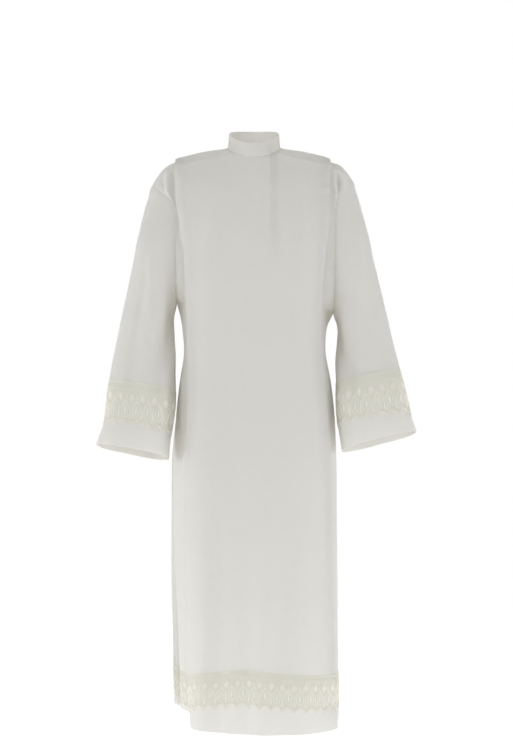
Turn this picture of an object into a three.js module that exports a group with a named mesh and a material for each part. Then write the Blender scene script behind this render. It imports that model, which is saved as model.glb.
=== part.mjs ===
// An alb: a long, loose liturgical robe with a stand-up collar, deep side pleats, wide set-in sleeves
// and lace bands above the cuffs and the hem. Every piece is a thin cloth wall.
//
// Frame: millimetres, +Z up. The front faces -Y. The origin is the middle of the neck opening at the
// height of the collar seam. "Left" and "right" are the wearer's, so left is +X.
import * as THREE from "three";

// ---------- Driving dimensions ----------

const CLOTH = 1.8; // thickness of the cloth walls
const LACE = 1.0; // thickness of the lace walls
const SEAM_GAP = 0.34; // clearance between two pieces that are sewn together
const LIFT = 0.3; // clearance between a panel and what is sewn on it

const NECK = { halfWidth: 64, halfDepth: 71, middleZ: 12, tilt: 22, sideRise: 8 };
const COLLAR = { height: 34, footZ: 1.7, topShrink: 0.955, overlap: 1.5 };
// Angles of the collar's outer and under ends, degrees from centre front towards the wearer's left.
// The outer end stands proud over the last lapOver degrees, and the under end goes in from tuckFrom
// to tuckTo.
const COLLAR_ENDS = { outer: 40, under: 20, lapOver: 60, tuckFrom: 80, tuckTo: 50 };
const PLACKET = { inner: 40, outer: 60, rows: 5 }; // neck angles of its edges, and its rows of the front

// The edge where a sleeve is set in: an upright loop from the shoulder tip down to the underarm. Its
// depth and its slope in at the top are powers of the circle's sine and cosine.
const ARMHOLE = {
  left: { topX: 246, sideX: 198, topZ: -62, bottomZ: -392, halfDepth: 74 },
  right: { topX: 256, sideX: 193, topZ: -77, bottomZ: -365, halfDepth: 74 },
};
const ARMHOLE_CURVE = { depthPower: 0.7, slopePower: 1.2, slopeRate: 1.75 };
// Angles round the armhole, from its top. The seam over the shoulder meets it at the first.
const ARM_ANGLES = [22, 42, 60, 78, 98, 118, 138, 159, 180];

// Where the columns of a panel start on the shoulder seam, out from the neck.
const SHOULDER_X = [178, 150, 120, 88];
const NECK_FRONT = [60, 40, 20, 0]; // neck angles of the front's columns, degrees from centre front
const NECK_BACK = [130, 146, 163, 180]; // and of the back's
const NECK_SIDE = [60, 85, 108, 130]; // neck angles of the back's first rows, over the shoulder

// Rows of the front below the shoulder seam: height at the middle of the panel. The last of the
// first list is level with the underarm.
const CHEST_ROWS = [-75, -125, -180, -238, -288, -330, -362, -395];
const BACK_ROWS = [-90, -165, -232, -286, -330, -362, -395];
const SKIRT_ROWS = [-435, -490, -560, -650, -760, -880, -1010, -1140];

const HEM = { frontZ: -1407, backZ: -1392, frontY: -219, backY: 228 };
const LACE_BAND = 92; // height of the hem lace

// ---------- Section tables ----------
// Each table is keyed by z, from the top down, and values between its rows are interpolated.
// middle: depth at the centre of the panel.   edge: depth where the panel starts to round forward.
// left, right: half widths out to the fold edges.   wrap: how far the right edge runs past the corner.
// turnLeft, turnRight: direction of each fold edge, 0 sideways and 90 towards the other panel.
const FRONT = table(
  ["z", "middle", "edge", "left", "right", "wrap", "turnLeft", "turnRight"],
  [
    [-75, 100, 68, 187, 194, 0, 20, 20],
    [-125, 114, 84, 187, 191, 0, 28, 28],
    [-180, 125, 93, 184, 183, 0, 34, 34],
    [-238, 131, 97, 179, 174, 0, 38, 38],
    [-330, 136, 98, 170, 170, 0, 42, 42],
    [-450, 139, 97, 168, 167, 0, 48, 48],
    [-600, 147, 100, 179, 166, 0, 52, 56],
    [-760, 162, 104, 191, 173, 12, 55, 66],
    [-900, 176, 107, 194, 171, 28, 58, 74],
    [-1050, 190, 110, 195, 168, 52, 60, 80],
    [-1200, 204, 114, 198, 162, 86, 62, 86],
    [-1407, 219, 120, 205, 153, 124, 64, 90],
  ],
);
const BACK = table(
  ["z", "middle", "edge", "left", "right", "wrap", "turnLeft", "turnRight"],
  [
    [-90, 108, 74, 188, 192, 0, 22, 22],
    [-165, 119, 84, 185, 187, 0, 32, 32],
    [-260, 126, 90, 179, 178, 0, 38, 38],
    [-365, 129, 92, 171, 171, 0, 42, 42],
    [-450, 131, 92, 168, 167, 0, 46, 46],
    [-560, 138, 95, 188, 184, 0, 40, 40],
    [-650, 147, 98, 204, 199, 0, 36, 36],
    [-760, 160, 102, 209, 210, 0, 34, 34],
    [-900, 176, 110, 210, 212, 0, 34, 34],
    [-1050, 192, 120, 210, 213, 0, 34, 34],
    [-1200, 207, 132, 209, 211, 0, 36, 36],
    [-1407, 228, 150, 208, 207, 0, 38, 38],
  ],
);
// The side seam, and the swell of the cloth between it and the front fold edge.
const SIDE_COLUMNS = ["z", "seamX", "seamY", "swellX", "swellY"];
const SIDE = {
  left: table(SIDE_COLUMNS, [
    [-395, 198, 0, 188, -60],
    [-450, 171, 0, 173, -45],
    [-500, 176, 4, 177, -42],
    [-560, 189, 8, 188, -40],
    [-650, 199, 14, 198, -36],
    [-760, 203, 18, 203, -34],
    [-1050, 202, 28, 206, -34],
    [-1407, 202, 48, 210, -30],
  ]),
  right: table(SIDE_COLUMNS, [
    [-395, 193, 0, 186, -60],
    [-450, 169, 0, 172, -45],
    [-500, 170, 4, 173, -42],
    [-560, 182, 10, 182, -38],
    [-650, 190, 24, 193, -22],
    [-760, 194, 44, 200, -2],
    [-900, 192, 66, 201, 20],
    [-1050, 184, 88, 198, 44],
    [-1200, 174, 106, 192, 68],
    [-1407, 164, 120, 185, 92],
  ]),
};
// gap: distance between the layers of a pleat.   under: how far its cloth goes in below the fold edge.
// lean: how far the layers lie below each other and not inside, in degrees (only at the shoulder).
const PLEAT = table(
  ["z", "gap", "under"],
  [
    [0, 5, 24],
    [-125, 5.5, 26],
    [-300, 7, 28],
    [-450, 8, 30],
    [-760, 9.5, 34],
    [-1407, 13, 42],
  ],
);
const LEAN = { front: [50, 32, 16, 6], back: [50, 88, 62, 34, 12] };
// Where the cloth comes out below the fold edge, in gaps along and in, and where the next column
// lies from there to the seam, as a share.
const PLEAT_END = { along: 0.4, down: 1.8, bulge: 0.55 };

// Rows over the shoulder, as y and z at the panel's columns from the neck outwards (x from
// SHOULDER_X), then the fold edge and the outer crease. The first is the forward shoulder seam.
const SHOULDER = table(
  [
    "y88", "z88", "y120", "z120", "y150", "z150", "y178", "z178",
    "edgeY", "edgeZ", "creaseY", "creaseZ",
  ],
  [
    [-43, -5, -48, -13, -50, -20, -51.5, -25, -52, -28, -41, -50],
    [3, 16, 3, 11.5, 3, 5, 2, -2, 1, -7, 0, -33],
    [35, 11, 37, 5, 38, -2, 38, -9, 37, -15, 33, -42],
    [69, -7, 73, -16, 74, -26, 72, -36, 68, -44, 54, -74],
  ],
);
const SHOULDER_EDGE = { left: 190, right: 196 }; // x of the fold edge over the shoulder
const SHOULDER_FALL = 0.18; // fall of the cloth outside it, as a slope
const CREASE_FOLLOWS = 0.5; // share of the armholes' difference in height that the crease takes
const CREASE = { left: 217, right: 226 }; // x of the crease outside it

// Sleeve rings below the armhole, for each arm. The outer line is the arm's, the inner line hangs.
// halfDepth is front to back, middleY the ring's centre, and tilt how far its front edge is raised.
const SLEEVE_COLUMNS = ["outX", "outZ", "inX", "inZ", "halfDepth", "middleY", "tilt"];
const SLEEVE = {
  right: table(SLEEVE_COLUMNS, [
    [283, -180, 202, -407, 84, -2, 2],
    [301, -275, 200, -450, 82, -6, 4],
    [320, -370, 196, -495, 78, -12, 6],
    [339, -468, 196, -542, 73, -22, 8],
    [358, -564, 195, -589, 67, -34, 9],
    [364, -618, 199, -645, 62, -44, 10],
    [371, -672, 206, -700, 58, -54, 11],
    [389, -719, 210, -754, 54, -64, 12],
  ]),
  left: table(SLEEVE_COLUMNS, [
    [277, -172, 209, -432, 84, -2, 2],
    [297, -262, 207, -466, 82, -6, 4],
    [318, -352, 204, -498, 78, -12, 6],
    [340, -444, 204, -534, 73, -22, 8],
    [363, -537, 205, -569, 67, -36, 9],
    [375, -592, 205, -624, 62, -48, 10],
    [388, -649, 208, -680, 58, -58, 11],
    [401, -687, 217, -735, 54, -66, 12],
  ]),
};
const CUFF_LACE = { first: 5, last: 7 }; // rings that the cuff lace lies between
const SLEEVE_ROUND = 0.86; // below 1 the ring is boxier than an ellipse

// Top line of the hem lace at each column of a panel, from the wearer's right to left.
const LACE_TOP = table(
  ["share", "front", "back"],
  [
    [0.0, -1299, -1270],
    [0.14, -1288, -1272],
    [0.28, -1268, -1268],
    [0.5, -1253, -1264],
    [0.72, -1264, -1268],
    [1.0, -1276, -1276],
  ],
);
const LACE_TOP_SIDE = { right: -1297, left: -1282 };

// ---------- Small helpers ----------

const V = (x, y, z) => new THREE.Vector3(x, y, z);
const RAD = Math.PI / 180;
const mix = (a, b, t) => a + (b - a) * t;
const clamp = (v, low, high) => Math.min(high, Math.max(low, v));
const power = (v, p) => Math.sign(v) * Math.abs(v) ** p;

function table(columns, rows) {
  return rows.map((row) => Object.fromEntries(row.map((v, i) => [columns[i], v])));
}

// The value of a column at a key, straight between the table's rows.
function at(rows, key, where, column) {
  const falling = rows[0][key] > rows[rows.length - 1][key];
  const before = (v) => (falling ? v > where : v < where);
  let i = 1;
  while (i < rows.length - 1 && before(rows[i][key])) i++;
  const [a, b] = [rows[i - 1], rows[i]];
  return mix(a[column], b[column], clamp((where - a[key]) / (b[key] - a[key]), 0, 1));
}

// ---------- Edges that two pieces share ----------

// A point of the neck seam. The angle runs from centre front, and is positive on the wearer's left.
function neckPoint(degrees) {
  const a = degrees * RAD;
  const z = NECK.middleZ - NECK.tilt * Math.cos(a) + NECK.sideRise * Math.sin(a) ** 2;
  return V(NECK.halfWidth * Math.sin(a), -NECK.halfDepth * Math.cos(a), z);
}

// A point of the armhole seam. The angle runs from the shoulder tip, and is positive to the front.
function armholePoint(side, degrees) {
  const { topX, sideX, topZ, bottomZ, halfDepth } = ARMHOLE[side];
  const a = Math.abs(degrees) * RAD;
  const { depthPower, slopePower, slopeRate } = ARMHOLE_CURVE;
  const slope = Math.max(0, Math.cos(Math.min(slopeRate * a, Math.PI / 2))) ** slopePower;
  const x = mix(sideX, topX, slope);
  const y = -Math.sign(degrees) * halfDepth * Math.sin(Math.min(a, Math.PI)) ** depthPower;
  const z = (topZ + bottomZ) / 2 + ((topZ - bottomZ) / 2) * Math.cos(a);
  return V(side === "left" ? x : -x, Math.abs(degrees) === 180 ? 0 : y, z);
}

// The side seam below the armhole.
function sideSeamPoint(side, z) {
  const x = at(SIDE[side], "z", z, "seamX");
  return V(side === "left" ? x : -x, at(SIDE[side], "z", z, "seamY"), z);
}

// ---------- Body sections ----------

const CURVE_STEPS = 90; // of the curve that a panel's columns are spaced along

// Points along a panel between its fold edges at one height: half an ellipse, and on the wearer's
// right a straight stretch past its corner. Returns a function of the share from right to left.
function panelCurve(rows, z, facing) {
  const get = (column) => at(rows, "z", z, column);
  const [left, right] = [get("left"), get("right")];
  const [middleX, halfX] = [(left - right) / 2, (left + right) / 2];
  const [edge, rise, wrap] = [get("edge"), get("middle") - get("edge"), get("wrap")];
  const points = [V(-right, facing * (edge - wrap), z)];
  for (let i = 0; i <= CURVE_STEPS; i++) {
    const a = (i / CURVE_STEPS) * Math.PI;
    points.push(V(middleX - halfX * Math.cos(a), facing * (edge + rise * Math.sin(a)), z));
  }
  const length = [0];
  for (let i = 1; i < points.length; i++) {
    length.push(length[i - 1] + points[i].distanceTo(points[i - 1]));
  }
  const total = length[length.length - 1];
  return (share) => {
    let i = 1;
    while (i < points.length - 1 && length[i] < share * total) i++;
    const t = (share * total - length[i - 1]) / (length[i] - length[i - 1] || 1);
    return points[i - 1].clone().lerp(points[i], t);
  };
}

// The nine columns of a side, from the fold edge outwards: the rounded fold edge, the rounded inner
// fold below it, the cloth that comes out again, its bulge, and the seam.
function pleatColumns({ edge, out, inward, gap, under, end, bulge }) {
  const place = (along, down) =>
    edge.clone().addScaledVector(out, along).addScaledVector(inward, down);
  const round = gap / 2;
  const fold = [place(-round, 0), place(0, round), place(-round, gap)];
  const inner = [
    place(round - under, gap),
    place(-under, 1.5 * gap),
    place(round - under, 2 * gap),
  ];
  const first = place(PLEAT_END.along * gap, PLEAT_END.down * gap);
  const middle = bulge || first.clone().lerp(end, PLEAT_END.bulge);
  return [...fold, ...inner, first, middle, end];
}

// One row of a panel, from the wearer's right seam to the left one.
function panelRow({ inner, pleats }) {
  return [...pleats.right.slice().reverse(), ...inner, ...pleats.left];
}

// Directions at a fold edge: outwards along the panel, and inwards to the next layer.
function foldDirections(side, facing, turn, lean) {
  const s = side === "left" ? 1 : -1;
  const [a, b] = [turn * RAD, lean * RAD];
  const out = V(s * Math.cos(a), -facing * Math.sin(a), 0);
  const level = V(-s * Math.sin(a), -facing * Math.cos(a), 0);
  const inward = level.multiplyScalar(Math.cos(b)).add(V(0, 0, -Math.sin(b)));
  return { out, inward };
}

// Shares of the panel's width at which its columns lie, as on the shoulder seam.
function columnShares() {
  const neck = NECK_FRONT.slice(0, -1).map((a) => neckPoint(a).x);
  const half = [...SHOULDER_X, ...neck];
  const xs = [...half.map((x) => -x), 0, ...half.slice().reverse()];
  const { left, right } = SHOULDER_EDGE;
  return xs.map((x) => (x + right) / (right + left));
}
const SHARES = columnShares();

// A level row at height z of the panel's middle. ends gives its seam points on each side.
function levelRow(rows, facing, z, ends, lean) {
  const curve = panelCurve(rows, z, facing);
  const pleats = {};
  for (const side of ["left", "right"]) {
    const turn = at(rows, "z", z, side === "left" ? "turnLeft" : "turnRight");
    const edge = curve(side === "left" ? 1 : 0);
    const { out, inward } = foldDirections(side, facing, turn, lean);
    const end = ends[side];
    const [gap, under] = [at(PLEAT, "z", z, "gap"), at(PLEAT, "z", z, "under")];
    const swellX = at(SIDE[side], "z", z, "swellX") * (side === "left" ? 1 : -1);
    const swells = facing < 0 && z < SIDE[side][0].z;
    const bulge = swells && V(swellX, at(SIDE[side], "z", z, "swellY"), z);
    pleats[side] = pleatColumns({ edge, out, inward, gap, under, end, bulge });
  }
  return panelRow({ inner: SHARES.map(curve), pleats });
}

// A row over the shoulder. neck gives the points of the panel's neck columns, from right to left.
function shoulderRow(index, facing, neck, angle, lean) {
  const row = SHOULDER[index];
  const pleats = {};
  const out = { left: [], right: [] };
  for (const side of ["left", "right"]) {
    const s = side === "left" ? 1 : -1;
    out[side] = SHOULDER_X.map((x) => V(s * x, row["y" + x], row["z" + x]));
    const directions = foldDirections(side, facing, 0, lean);
    directions.out.add(V(0, 0, -SHOULDER_FALL)).normalize();
    const edge = V(s * SHOULDER_EDGE[side], row.edgeY, row.edgeZ);
    const end = armholePoint(side, angle);
    const drop = (end.z - armholePoint("right", angle).z) * CREASE_FOLLOWS;
    const bulge = V(s * CREASE[side], row.creaseY, row.creaseZ + drop);
    pleats[side] = pleatColumns({
      edge, ...directions, gap: PLEAT[0].gap, under: PLEAT[0].under, end, bulge,
    });
  }
  return panelRow({ inner: [...out.right, ...neck, ...out.left.reverse()], pleats });
}

const SEAM_COLUMNS = 9; // columns of each side, outside the panel's own
const FOLD_COLUMNS = 3; // those of them that round the fold edge

// Heights that change across the rows of the lace band and the hem.
function laceTopAt(column, facing) {
  const last = 2 * SEAM_COLUMNS + SHARES.length - 1;
  const which = facing < 0 ? "front" : "back";
  const share = SHARES[column - SEAM_COLUMNS];
  if (share !== undefined) return at(LACE_TOP, "share", share, which);
  const right = column < SEAM_COLUMNS;
  const edge = at(LACE_TOP, "share", right ? 0 : 1, which);
  const fromSeam = right ? column : last - column;
  const reach = SEAM_COLUMNS - FOLD_COLUMNS;
  return mix(LACE_TOP_SIDE[right ? "right" : "left"], edge, clamp(fromSeam / reach, 0, 1));
}

function hemZ(point) {
  return mix(HEM.frontZ, HEM.backZ, (point.y - HEM.frontY) / (HEM.backY - HEM.frontY));
}

// The rows of the skirt below the underarm, with the seam points that both panels share.
function skirtRows(rows, facing) {
  const level = (z) =>
    levelRow(rows, facing, z, { left: sideSeamPoint("left", z), right: sideSeamPoint("right", z) }, 0);
  // A row whose height changes from column to column takes each point at its own height.
  const sloping = (heightAt) => {
    const count = 2 * SEAM_COLUMNS + SHARES.length;
    return Array.from({ length: count }, (_, c) => level(heightAt(c))[c]);
  };
  const top = (c) => laceTopAt(c, facing);
  const hem = level(HEM.frontZ).map((p) => p.clone().setZ(hemZ(p)));
  return [
    ...SKIRT_ROWS.map(level),
    sloping(top),
    sloping((c) => top(c) - LACE_BAND),
    hem,
  ];
}

// Rows level with the armhole. Each meets the armhole seam at one of its angles, so its outer
// columns move from the panel's height to the seam's.
function armholeRows(rows, facing, heights, angles, leans) {
  return heights.map((z, i) => {
    const ends = {
      left: armholePoint("left", angles[i]),
      right: armholePoint("right", angles[i]),
    };
    return levelRow(rows, facing, z, ends, leans[i] || 0);
  });
}

function frontGrid() {
  const neckAngles = [...NECK_FRONT.map((a) => -a), ...NECK_FRONT.slice(0, -1).reverse()];
  const neck = neckAngles.map(neckPoint);
  return [
    shoulderRow(0, -1, neck, ARM_ANGLES[0], LEAN.front[0]),
    ...armholeRows(FRONT, -1, CHEST_ROWS, ARM_ANGLES.slice(1), LEAN.front.slice(1)),
    ...skirtRows(FRONT, -1),
  ];
}

function backGrid() {
  const angles = [ARM_ANGLES[0], 0, ...ARM_ANGLES.map((a) => -a)];
  const over = NECK_SIDE.map((angle, i) => {
    const [right, left] = [neckPoint(-angle), neckPoint(angle)];
    // Only the last of these rows has cloth between the two sides of the neck.
    const across = NECK_BACK.slice(1);
    const between = [...across.map((a) => -a), ...across.slice(0, -1).reverse()].map(neckPoint);
    const facing = i ? 1 : -1;
    return shoulderRow(i, facing, [right, ...between, left], angles[i], LEAN.back[i]);
  });
  return [
    ...over,
    ...armholeRows(BACK, 1, BACK_ROWS, angles.slice(4), LEAN.back.slice(4)),
    ...skirtRows(BACK, 1),
  ];
}

// ---------- Sleeves and collar ----------

function armAngles() {
  const half = ARM_ANGLES.slice(0, -1);
  return [0, ...half, 180, ...half.slice().reverse().map((a) => -a)];
}

function sleeveGrid(side) {
  const s = side === "left" ? 1 : -1;
  const ring = (row) =>
    armAngles().map((degrees) => {
      const a = degrees * RAD;
      const across = power(Math.cos(a), SLEEVE_ROUND);
      const deep = power(Math.sin(a), SLEEVE_ROUND) * row.halfDepth;
      const x = mix(row.inX, row.outX, (1 + across) / 2);
      const z = mix(row.inZ, row.outZ, (1 + across) / 2) + deep * Math.sin(row.tilt * RAD);
      return V(s * x, row.middleY - deep * Math.cos(row.tilt * RAD), z);
    });
  return [armAngles().map((a) => armholePoint(side, a)), ...SLEEVE[side].map(ring)];
}

// The collar is one band. Its outer end laps over its under end at the wearer's left front.
function collarGrid() {
  const half = [...NECK_FRONT.slice(0, -1), ...NECK_SIDE.slice(1), ...NECK_BACK.slice(1)];
  const ring = [...new Set(half)].sort((a, b) => a - b);
  const degrees = [];
  for (const a of ring.filter((a) => a <= COLLAR_ENDS.outer).reverse()) degrees.push(a);
  degrees.push(0);
  for (const a of ring) degrees.push(-a);
  for (const a of ring.slice(0, -1).reverse()) {
    if (a >= COLLAR_ENDS.under) degrees.push(a - 360);
  }
  const { outer, lapOver, tuckFrom, tuckTo } = COLLAR_ENDS;
  const band = (share) =>
    degrees.map((angle) => {
      const lap = clamp(1 - (outer - angle) / lapOver, 0, 1);
      const tuck = clamp((tuckFrom - 360 - angle) / (tuckFrom - tuckTo), 0, 1);
      const seam = neckPoint(angle);
      const shrink = mix(1, COLLAR.topShrink, share);
      const outwards = V(seam.x, seam.y, 0).normalize();
      const point = V(seam.x * shrink, seam.y * shrink, seam.z);
      point.addScaledVector(outwards, COLLAR.overlap * (lap - tuck));
      return point.setZ(seam.z + COLLAR.footZ + COLLAR.height * share);
    });
  return [band(0), band(0.5), band(1)];
}

// ---------- Walls ----------

// A sheet is a grid of points on the middle of the cloth. Seen from outside, its rows run down and
// its columns to the right. round joins the last column to the first. hole says which cells have no
// cloth, and seams lists the points that it shares with other pieces.
function sheet(name, rows, { round = false, hole = () => false, seams = [] } = {}) {
  return { name, rows, round, hole, seams, height: rows.length, width: rows[0].length };
}

// The triangles of a sheet as three [row, column] corners, seen from outside, two for each cell.
// The cells' diagonals are mirrored about the middle of an open sheet.
function triangles(s) {
  const found = [];
  for (let r = 0; r < s.height - 1; r++) {
    for (let c = 0; c < (s.round ? s.width : s.width - 1); c++) {
      if (s.hole(r, c)) continue;
      const [down, next] = [r + 1, (c + 1) % s.width];
      if (!s.round && c < s.width / 2 - 1) {
        found.push([[r, c], [down, c], [r, next]], [[down, c], [down, next], [r, next]]);
      } else {
        found.push([[r, c], [down, c], [down, next]], [[r, c], [down, next], [r, next]]);
      }
    }
  }
  return found;
}

// The outward normal at every point of a sheet, weighted by the corner angles round it.
function pointNormals(s) {
  const normals = s.rows.map((row) => row.map(() => V(0, 0, 0)));
  for (const triangle of triangles(s)) {
    const corners = triangle.map(([r, c]) => s.rows[r][c]);
    const sides = corners.map((p, i) => corners[(i + 1) % 3].clone().sub(p));
    const normal = sides[0].clone().cross(sides[1]).normalize();
    triangle.forEach(([r, c], i) => {
      const angle = Math.PI - sides[i].angleTo(sides[(i + 2) % 3]);
      normals[r][c].addScaledVector(normal, angle);
    });
  }
  return normals.map((row) => row.map((n) => n.normalize()));
}

const seamKey = (p) => [p.x, p.y, p.z].map((v) => Math.round(v * 20)).join();

// The directions, square to the seam, in which a sheet's cloth leaves one of its seam points.
function awayFromSeam(s, [r, c]) {
  const isSeam = (row, column) => s.seams.some(([a, b]) => a === row && b === column);
  const point = (row, column) => {
    const turned = s.round ? (column + s.width) % s.width : column;
    return s.rows[row] && s.rows[row][turned];
  };
  const found = [];
  for (const [dr, dc] of [[0, 1], [0, -1], [1, 0], [-1, 0]]) {
    const inside = point(r + dr, c + dc);
    const column = s.round ? (c + dc + s.width) % s.width : c + dc;
    if (!inside || isSeam(r + dr, column)) continue;
    const here = s.rows[r][c];
    const [before, after] = [point(r - dc, c - dr) || here, point(r + dc, c + dr) || here];
    const along = after.clone().sub(before).normalize();
    const away = inside.clone().sub(here);
    found.push(away.addScaledVector(along, -away.dot(along)).normalize());
  }
  return found;
}

// Two pieces that share seam points share the direction of the cloth's thickness there too: across
// the mitre where they meet at an angle. Each piece's points are then moved back from its seams.
function joinSeams(sheets) {
  const shared = new Map();
  for (const s of sheets) {
    s.normals = pointNormals(s);
    s.points = s.rows.map((row) => row.map((p) => p.clone()));
    for (const [r, c] of s.seams) {
      const key = seamKey(s.rows[r][c]);
      if (!shared.has(key)) shared.set(key, { normal: V(0, 0, 0), away: V(0, 0, 0) });
      const found = shared.get(key);
      found.normal.add(s.normals[r][c]);
      for (const direction of awayFromSeam(s, [r, c])) {
        found.away.add(direction);
        s.points[r][c].addScaledVector(direction, SEAM_GAP / 2);
      }
    }
  }
  for (const s of sheets) {
    for (const [r, c] of s.seams) {
      const { normal, away } = shared.get(seamKey(s.rows[r][c]));
      const side = Math.sign(normal.dot(away));
      s.normals[r][c].copy(normal).addScaledVector(away, side).normalize();
    }
  }
}

// A closed wall between two offsets from the sheet's points.
function wall(s, low, high) {
  const layer = (offset) =>
    s.points.map((row, r) => row.map((p, c) => p.clone().addScaledVector(s.normals[r][c], offset)));
  const faces = { outer: layer(high), inner: layer(low) };
  const positions = [];
  const indices = new Map();
  const vertex = (face, [r, c]) => {
    const key = face + r + "," + c;
    if (!indices.has(key)) {
      indices.set(key, positions.length / 3);
      const p = faces[face][r][c];
      positions.push(p.x, p.y, p.z);
    }
    return indices.get(key);
  };
  const index = [];
  const edges = new Map();
  for (const triangle of triangles(s)) {
    index.push(...triangle.map((p) => vertex("outer", p)));
    index.push(...triangle.slice().reverse().map((p) => vertex("inner", p)));
    triangle.forEach((p, i) => {
      const q = triangle[(i + 1) % 3];
      if (edges.has(q + "|" + p)) edges.delete(q + "|" + p);
      else edges.set(p + "|" + q, [p, q]);
    });
  }
  // What is left are the edges of the cloth, each closed by a strip across its thickness. Two
  // pieces that share a seam split its strips along the same diagonals.
  const keyOf = ([r, c]) => seamKey(s.rows[r][c]);
  for (const [p, q] of edges.values()) {
    const [a, b] = [vertex("outer", p), vertex("outer", q)];
    const [c, d] = [vertex("inner", p), vertex("inner", q)];
    if (keyOf(p) < keyOf(q)) index.push(a, c, b, b, c, d);
    else index.push(a, c, d, a, d, b);
  }
  const geometry = new THREE.BufferGeometry();
  geometry.setAttribute("position", new THREE.BufferAttribute(new Float32Array(positions), 3));
  geometry.setIndex(index);
  return geometry;
}

// ---------- Pieces ----------

const range = (from, to) => Array.from({ length: to - from }, (_, i) => from + i);

function bodySheet(name, rows, firstNeckRow) {
  const width = rows[0].length;
  const last = width - 1;
  const corner = SEAM_COLUMNS + SHOULDER_X.length; // column of the neck's corner
  const inNeck = (c) => c >= corner && c < last - corner;
  const seams = [
    ...range(0, rows.length).flatMap((r) => [[r, 0], [r, last]]),
    ...range(1, corner + 1).flatMap((c) => [[0, c], [0, last - c]]),
  ];
  return sheet(name, rows, { hole: (r, c) => r < firstNeckRow && inNeck(c), seams });
}

const mirrored = (rows) => rows.map((row) => row.slice().reverse());

const front = bodySheet("front", frontGrid(), 0);
const back = bodySheet("back", mirrored(backGrid()), NECK_SIDE.length - 1);
const sleeves = ["left", "right"].map((side) => {
  const rows = sleeveGrid(side);
  // The ring runs the other way round on the wearer's left, so that its outer face stays outside.
  const turned = side === "right" ? rows : mirrored(rows);
  const seams = turned[0].map((_, c) => [0, c]);
  return sheet("sleeve_" + side, turned, { round: true, seams });
});
joinSeams([front, back, ...sleeves]);

const collar = sheet("collar", collarGrid());
joinSeams([collar]);

// A piece that lies on part of a sheet: the same points, moved out.
function patch(name, base, firstRow, lastRow, firstColumn = 0, lastColumn = base.width - 1) {
  const cut = (grid) =>
    grid.slice(firstRow, lastRow + 1).map((row) => row.slice(firstColumn, lastColumn + 1));
  const piece = sheet(name, cut(base.rows), { round: base.round });
  return Object.assign(piece, { points: cut(base.points), normals: cut(base.normals) });
}

const laceRows = (base) => [base.height - 3, base.height - 2];
// The front's column at a neck angle on the wearer's left.
const neckColumn = (degrees) =>
  front.width - 1 - SEAM_COLUMNS - SHOULDER_X.length - NECK_FRONT.indexOf(degrees);
const placketColumns = [neckColumn(PLACKET.inner), neckColumn(PLACKET.outer)];

const CLOTH_LOOK = { color: 0xf1efe6, roughness: 0.85 };
const LACE_LOOK = { color: 0xf2ecd6, roughness: 0.9 };

const onCloth = [CLOTH / 2 + LIFT, CLOTH / 2 + LIFT + LACE];
const PIECES = [
  { sheet: front, low: -CLOTH / 2, high: CLOTH / 2, look: CLOTH_LOOK },
  { sheet: back, low: -CLOTH / 2, high: CLOTH / 2, look: CLOTH_LOOK },
  ...sleeves.map((s) => ({ sheet: s, low: -CLOTH / 2, high: CLOTH / 2, look: CLOTH_LOOK })),
  { sheet: collar, low: -CLOTH / 2, high: CLOTH / 2, look: CLOTH_LOOK },
  {
    sheet: patch("placket", front, 0, PLACKET.rows - 1, ...placketColumns),
    low: onCloth[0], high: onCloth[1], look: CLOTH_LOOK,
  },
  ...[front, back].map((base) => ({
    sheet: patch("hem_lace_" + base.name, base, ...laceRows(base)),
    low: onCloth[0], high: onCloth[1], look: LACE_LOOK,
  })),
  ...sleeves.map((base) => ({
    sheet: patch(base.name.replace("sleeve", "cuff_lace"), base, CUFF_LACE.first, CUFF_LACE.last),
    low: onCloth[0], high: onCloth[1], look: LACE_LOOK,
  })),
];

const alb = new THREE.Group();
for (const { sheet: piece, low, high, look } of PIECES) {
  const mesh = new THREE.Mesh(wall(piece, low, high), new THREE.MeshStandardMaterial(look));
  mesh.name = piece.name;
  alb.add(mesh);
}

export default alb;
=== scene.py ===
import math

import bpy
import numpy as np
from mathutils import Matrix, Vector


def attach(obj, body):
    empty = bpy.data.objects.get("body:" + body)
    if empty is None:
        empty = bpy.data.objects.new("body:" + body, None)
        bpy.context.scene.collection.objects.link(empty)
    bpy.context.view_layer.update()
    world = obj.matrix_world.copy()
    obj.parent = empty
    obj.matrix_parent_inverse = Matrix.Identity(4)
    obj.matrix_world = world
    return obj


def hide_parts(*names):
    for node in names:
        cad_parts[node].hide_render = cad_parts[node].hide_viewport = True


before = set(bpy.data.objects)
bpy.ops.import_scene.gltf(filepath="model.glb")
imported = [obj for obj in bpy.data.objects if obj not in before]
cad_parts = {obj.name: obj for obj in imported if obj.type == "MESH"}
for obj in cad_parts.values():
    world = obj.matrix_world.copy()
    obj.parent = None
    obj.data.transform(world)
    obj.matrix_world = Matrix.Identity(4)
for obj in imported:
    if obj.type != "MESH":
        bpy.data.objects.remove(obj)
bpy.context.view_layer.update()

MM = 0.001
RAD = math.pi / 180
TINY, TINY_GAP = 1e-9, 1e-6  # the least a length counts as where it divides, and a gap in millimetres
SIDES = {"left": 1, "right": -1}  # the wearer's, and the way that each lies along x


# ---------- Small helpers ----------


def table(columns, *rows):
    """Each named column of a table as an array."""
    return dict(zip(columns.split(), np.array(rows, float).T))


def nth_row(tab, i):
    return {name: values[i] for name, values in tab.items()}


def at(tab, where, column):
    """The value of a column where the table's first one has a value, straight between its rows."""
    keys, values = next(iter(tab.values())), tab[column]
    if keys[0] > keys[-1]:
        keys, values = keys[::-1], values[::-1]
    return float(np.interp(where, keys, values))


def mix(a, b, t):
    return a + (b - a) * t


def ease(t):
    t = np.clip(t, 0, 1)
    return t * t * (3 - 2 * t)


def unit(vectors):
    return vectors / np.maximum(np.linalg.norm(vectors, axis=-1, keepdims=True), TINY)


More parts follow.
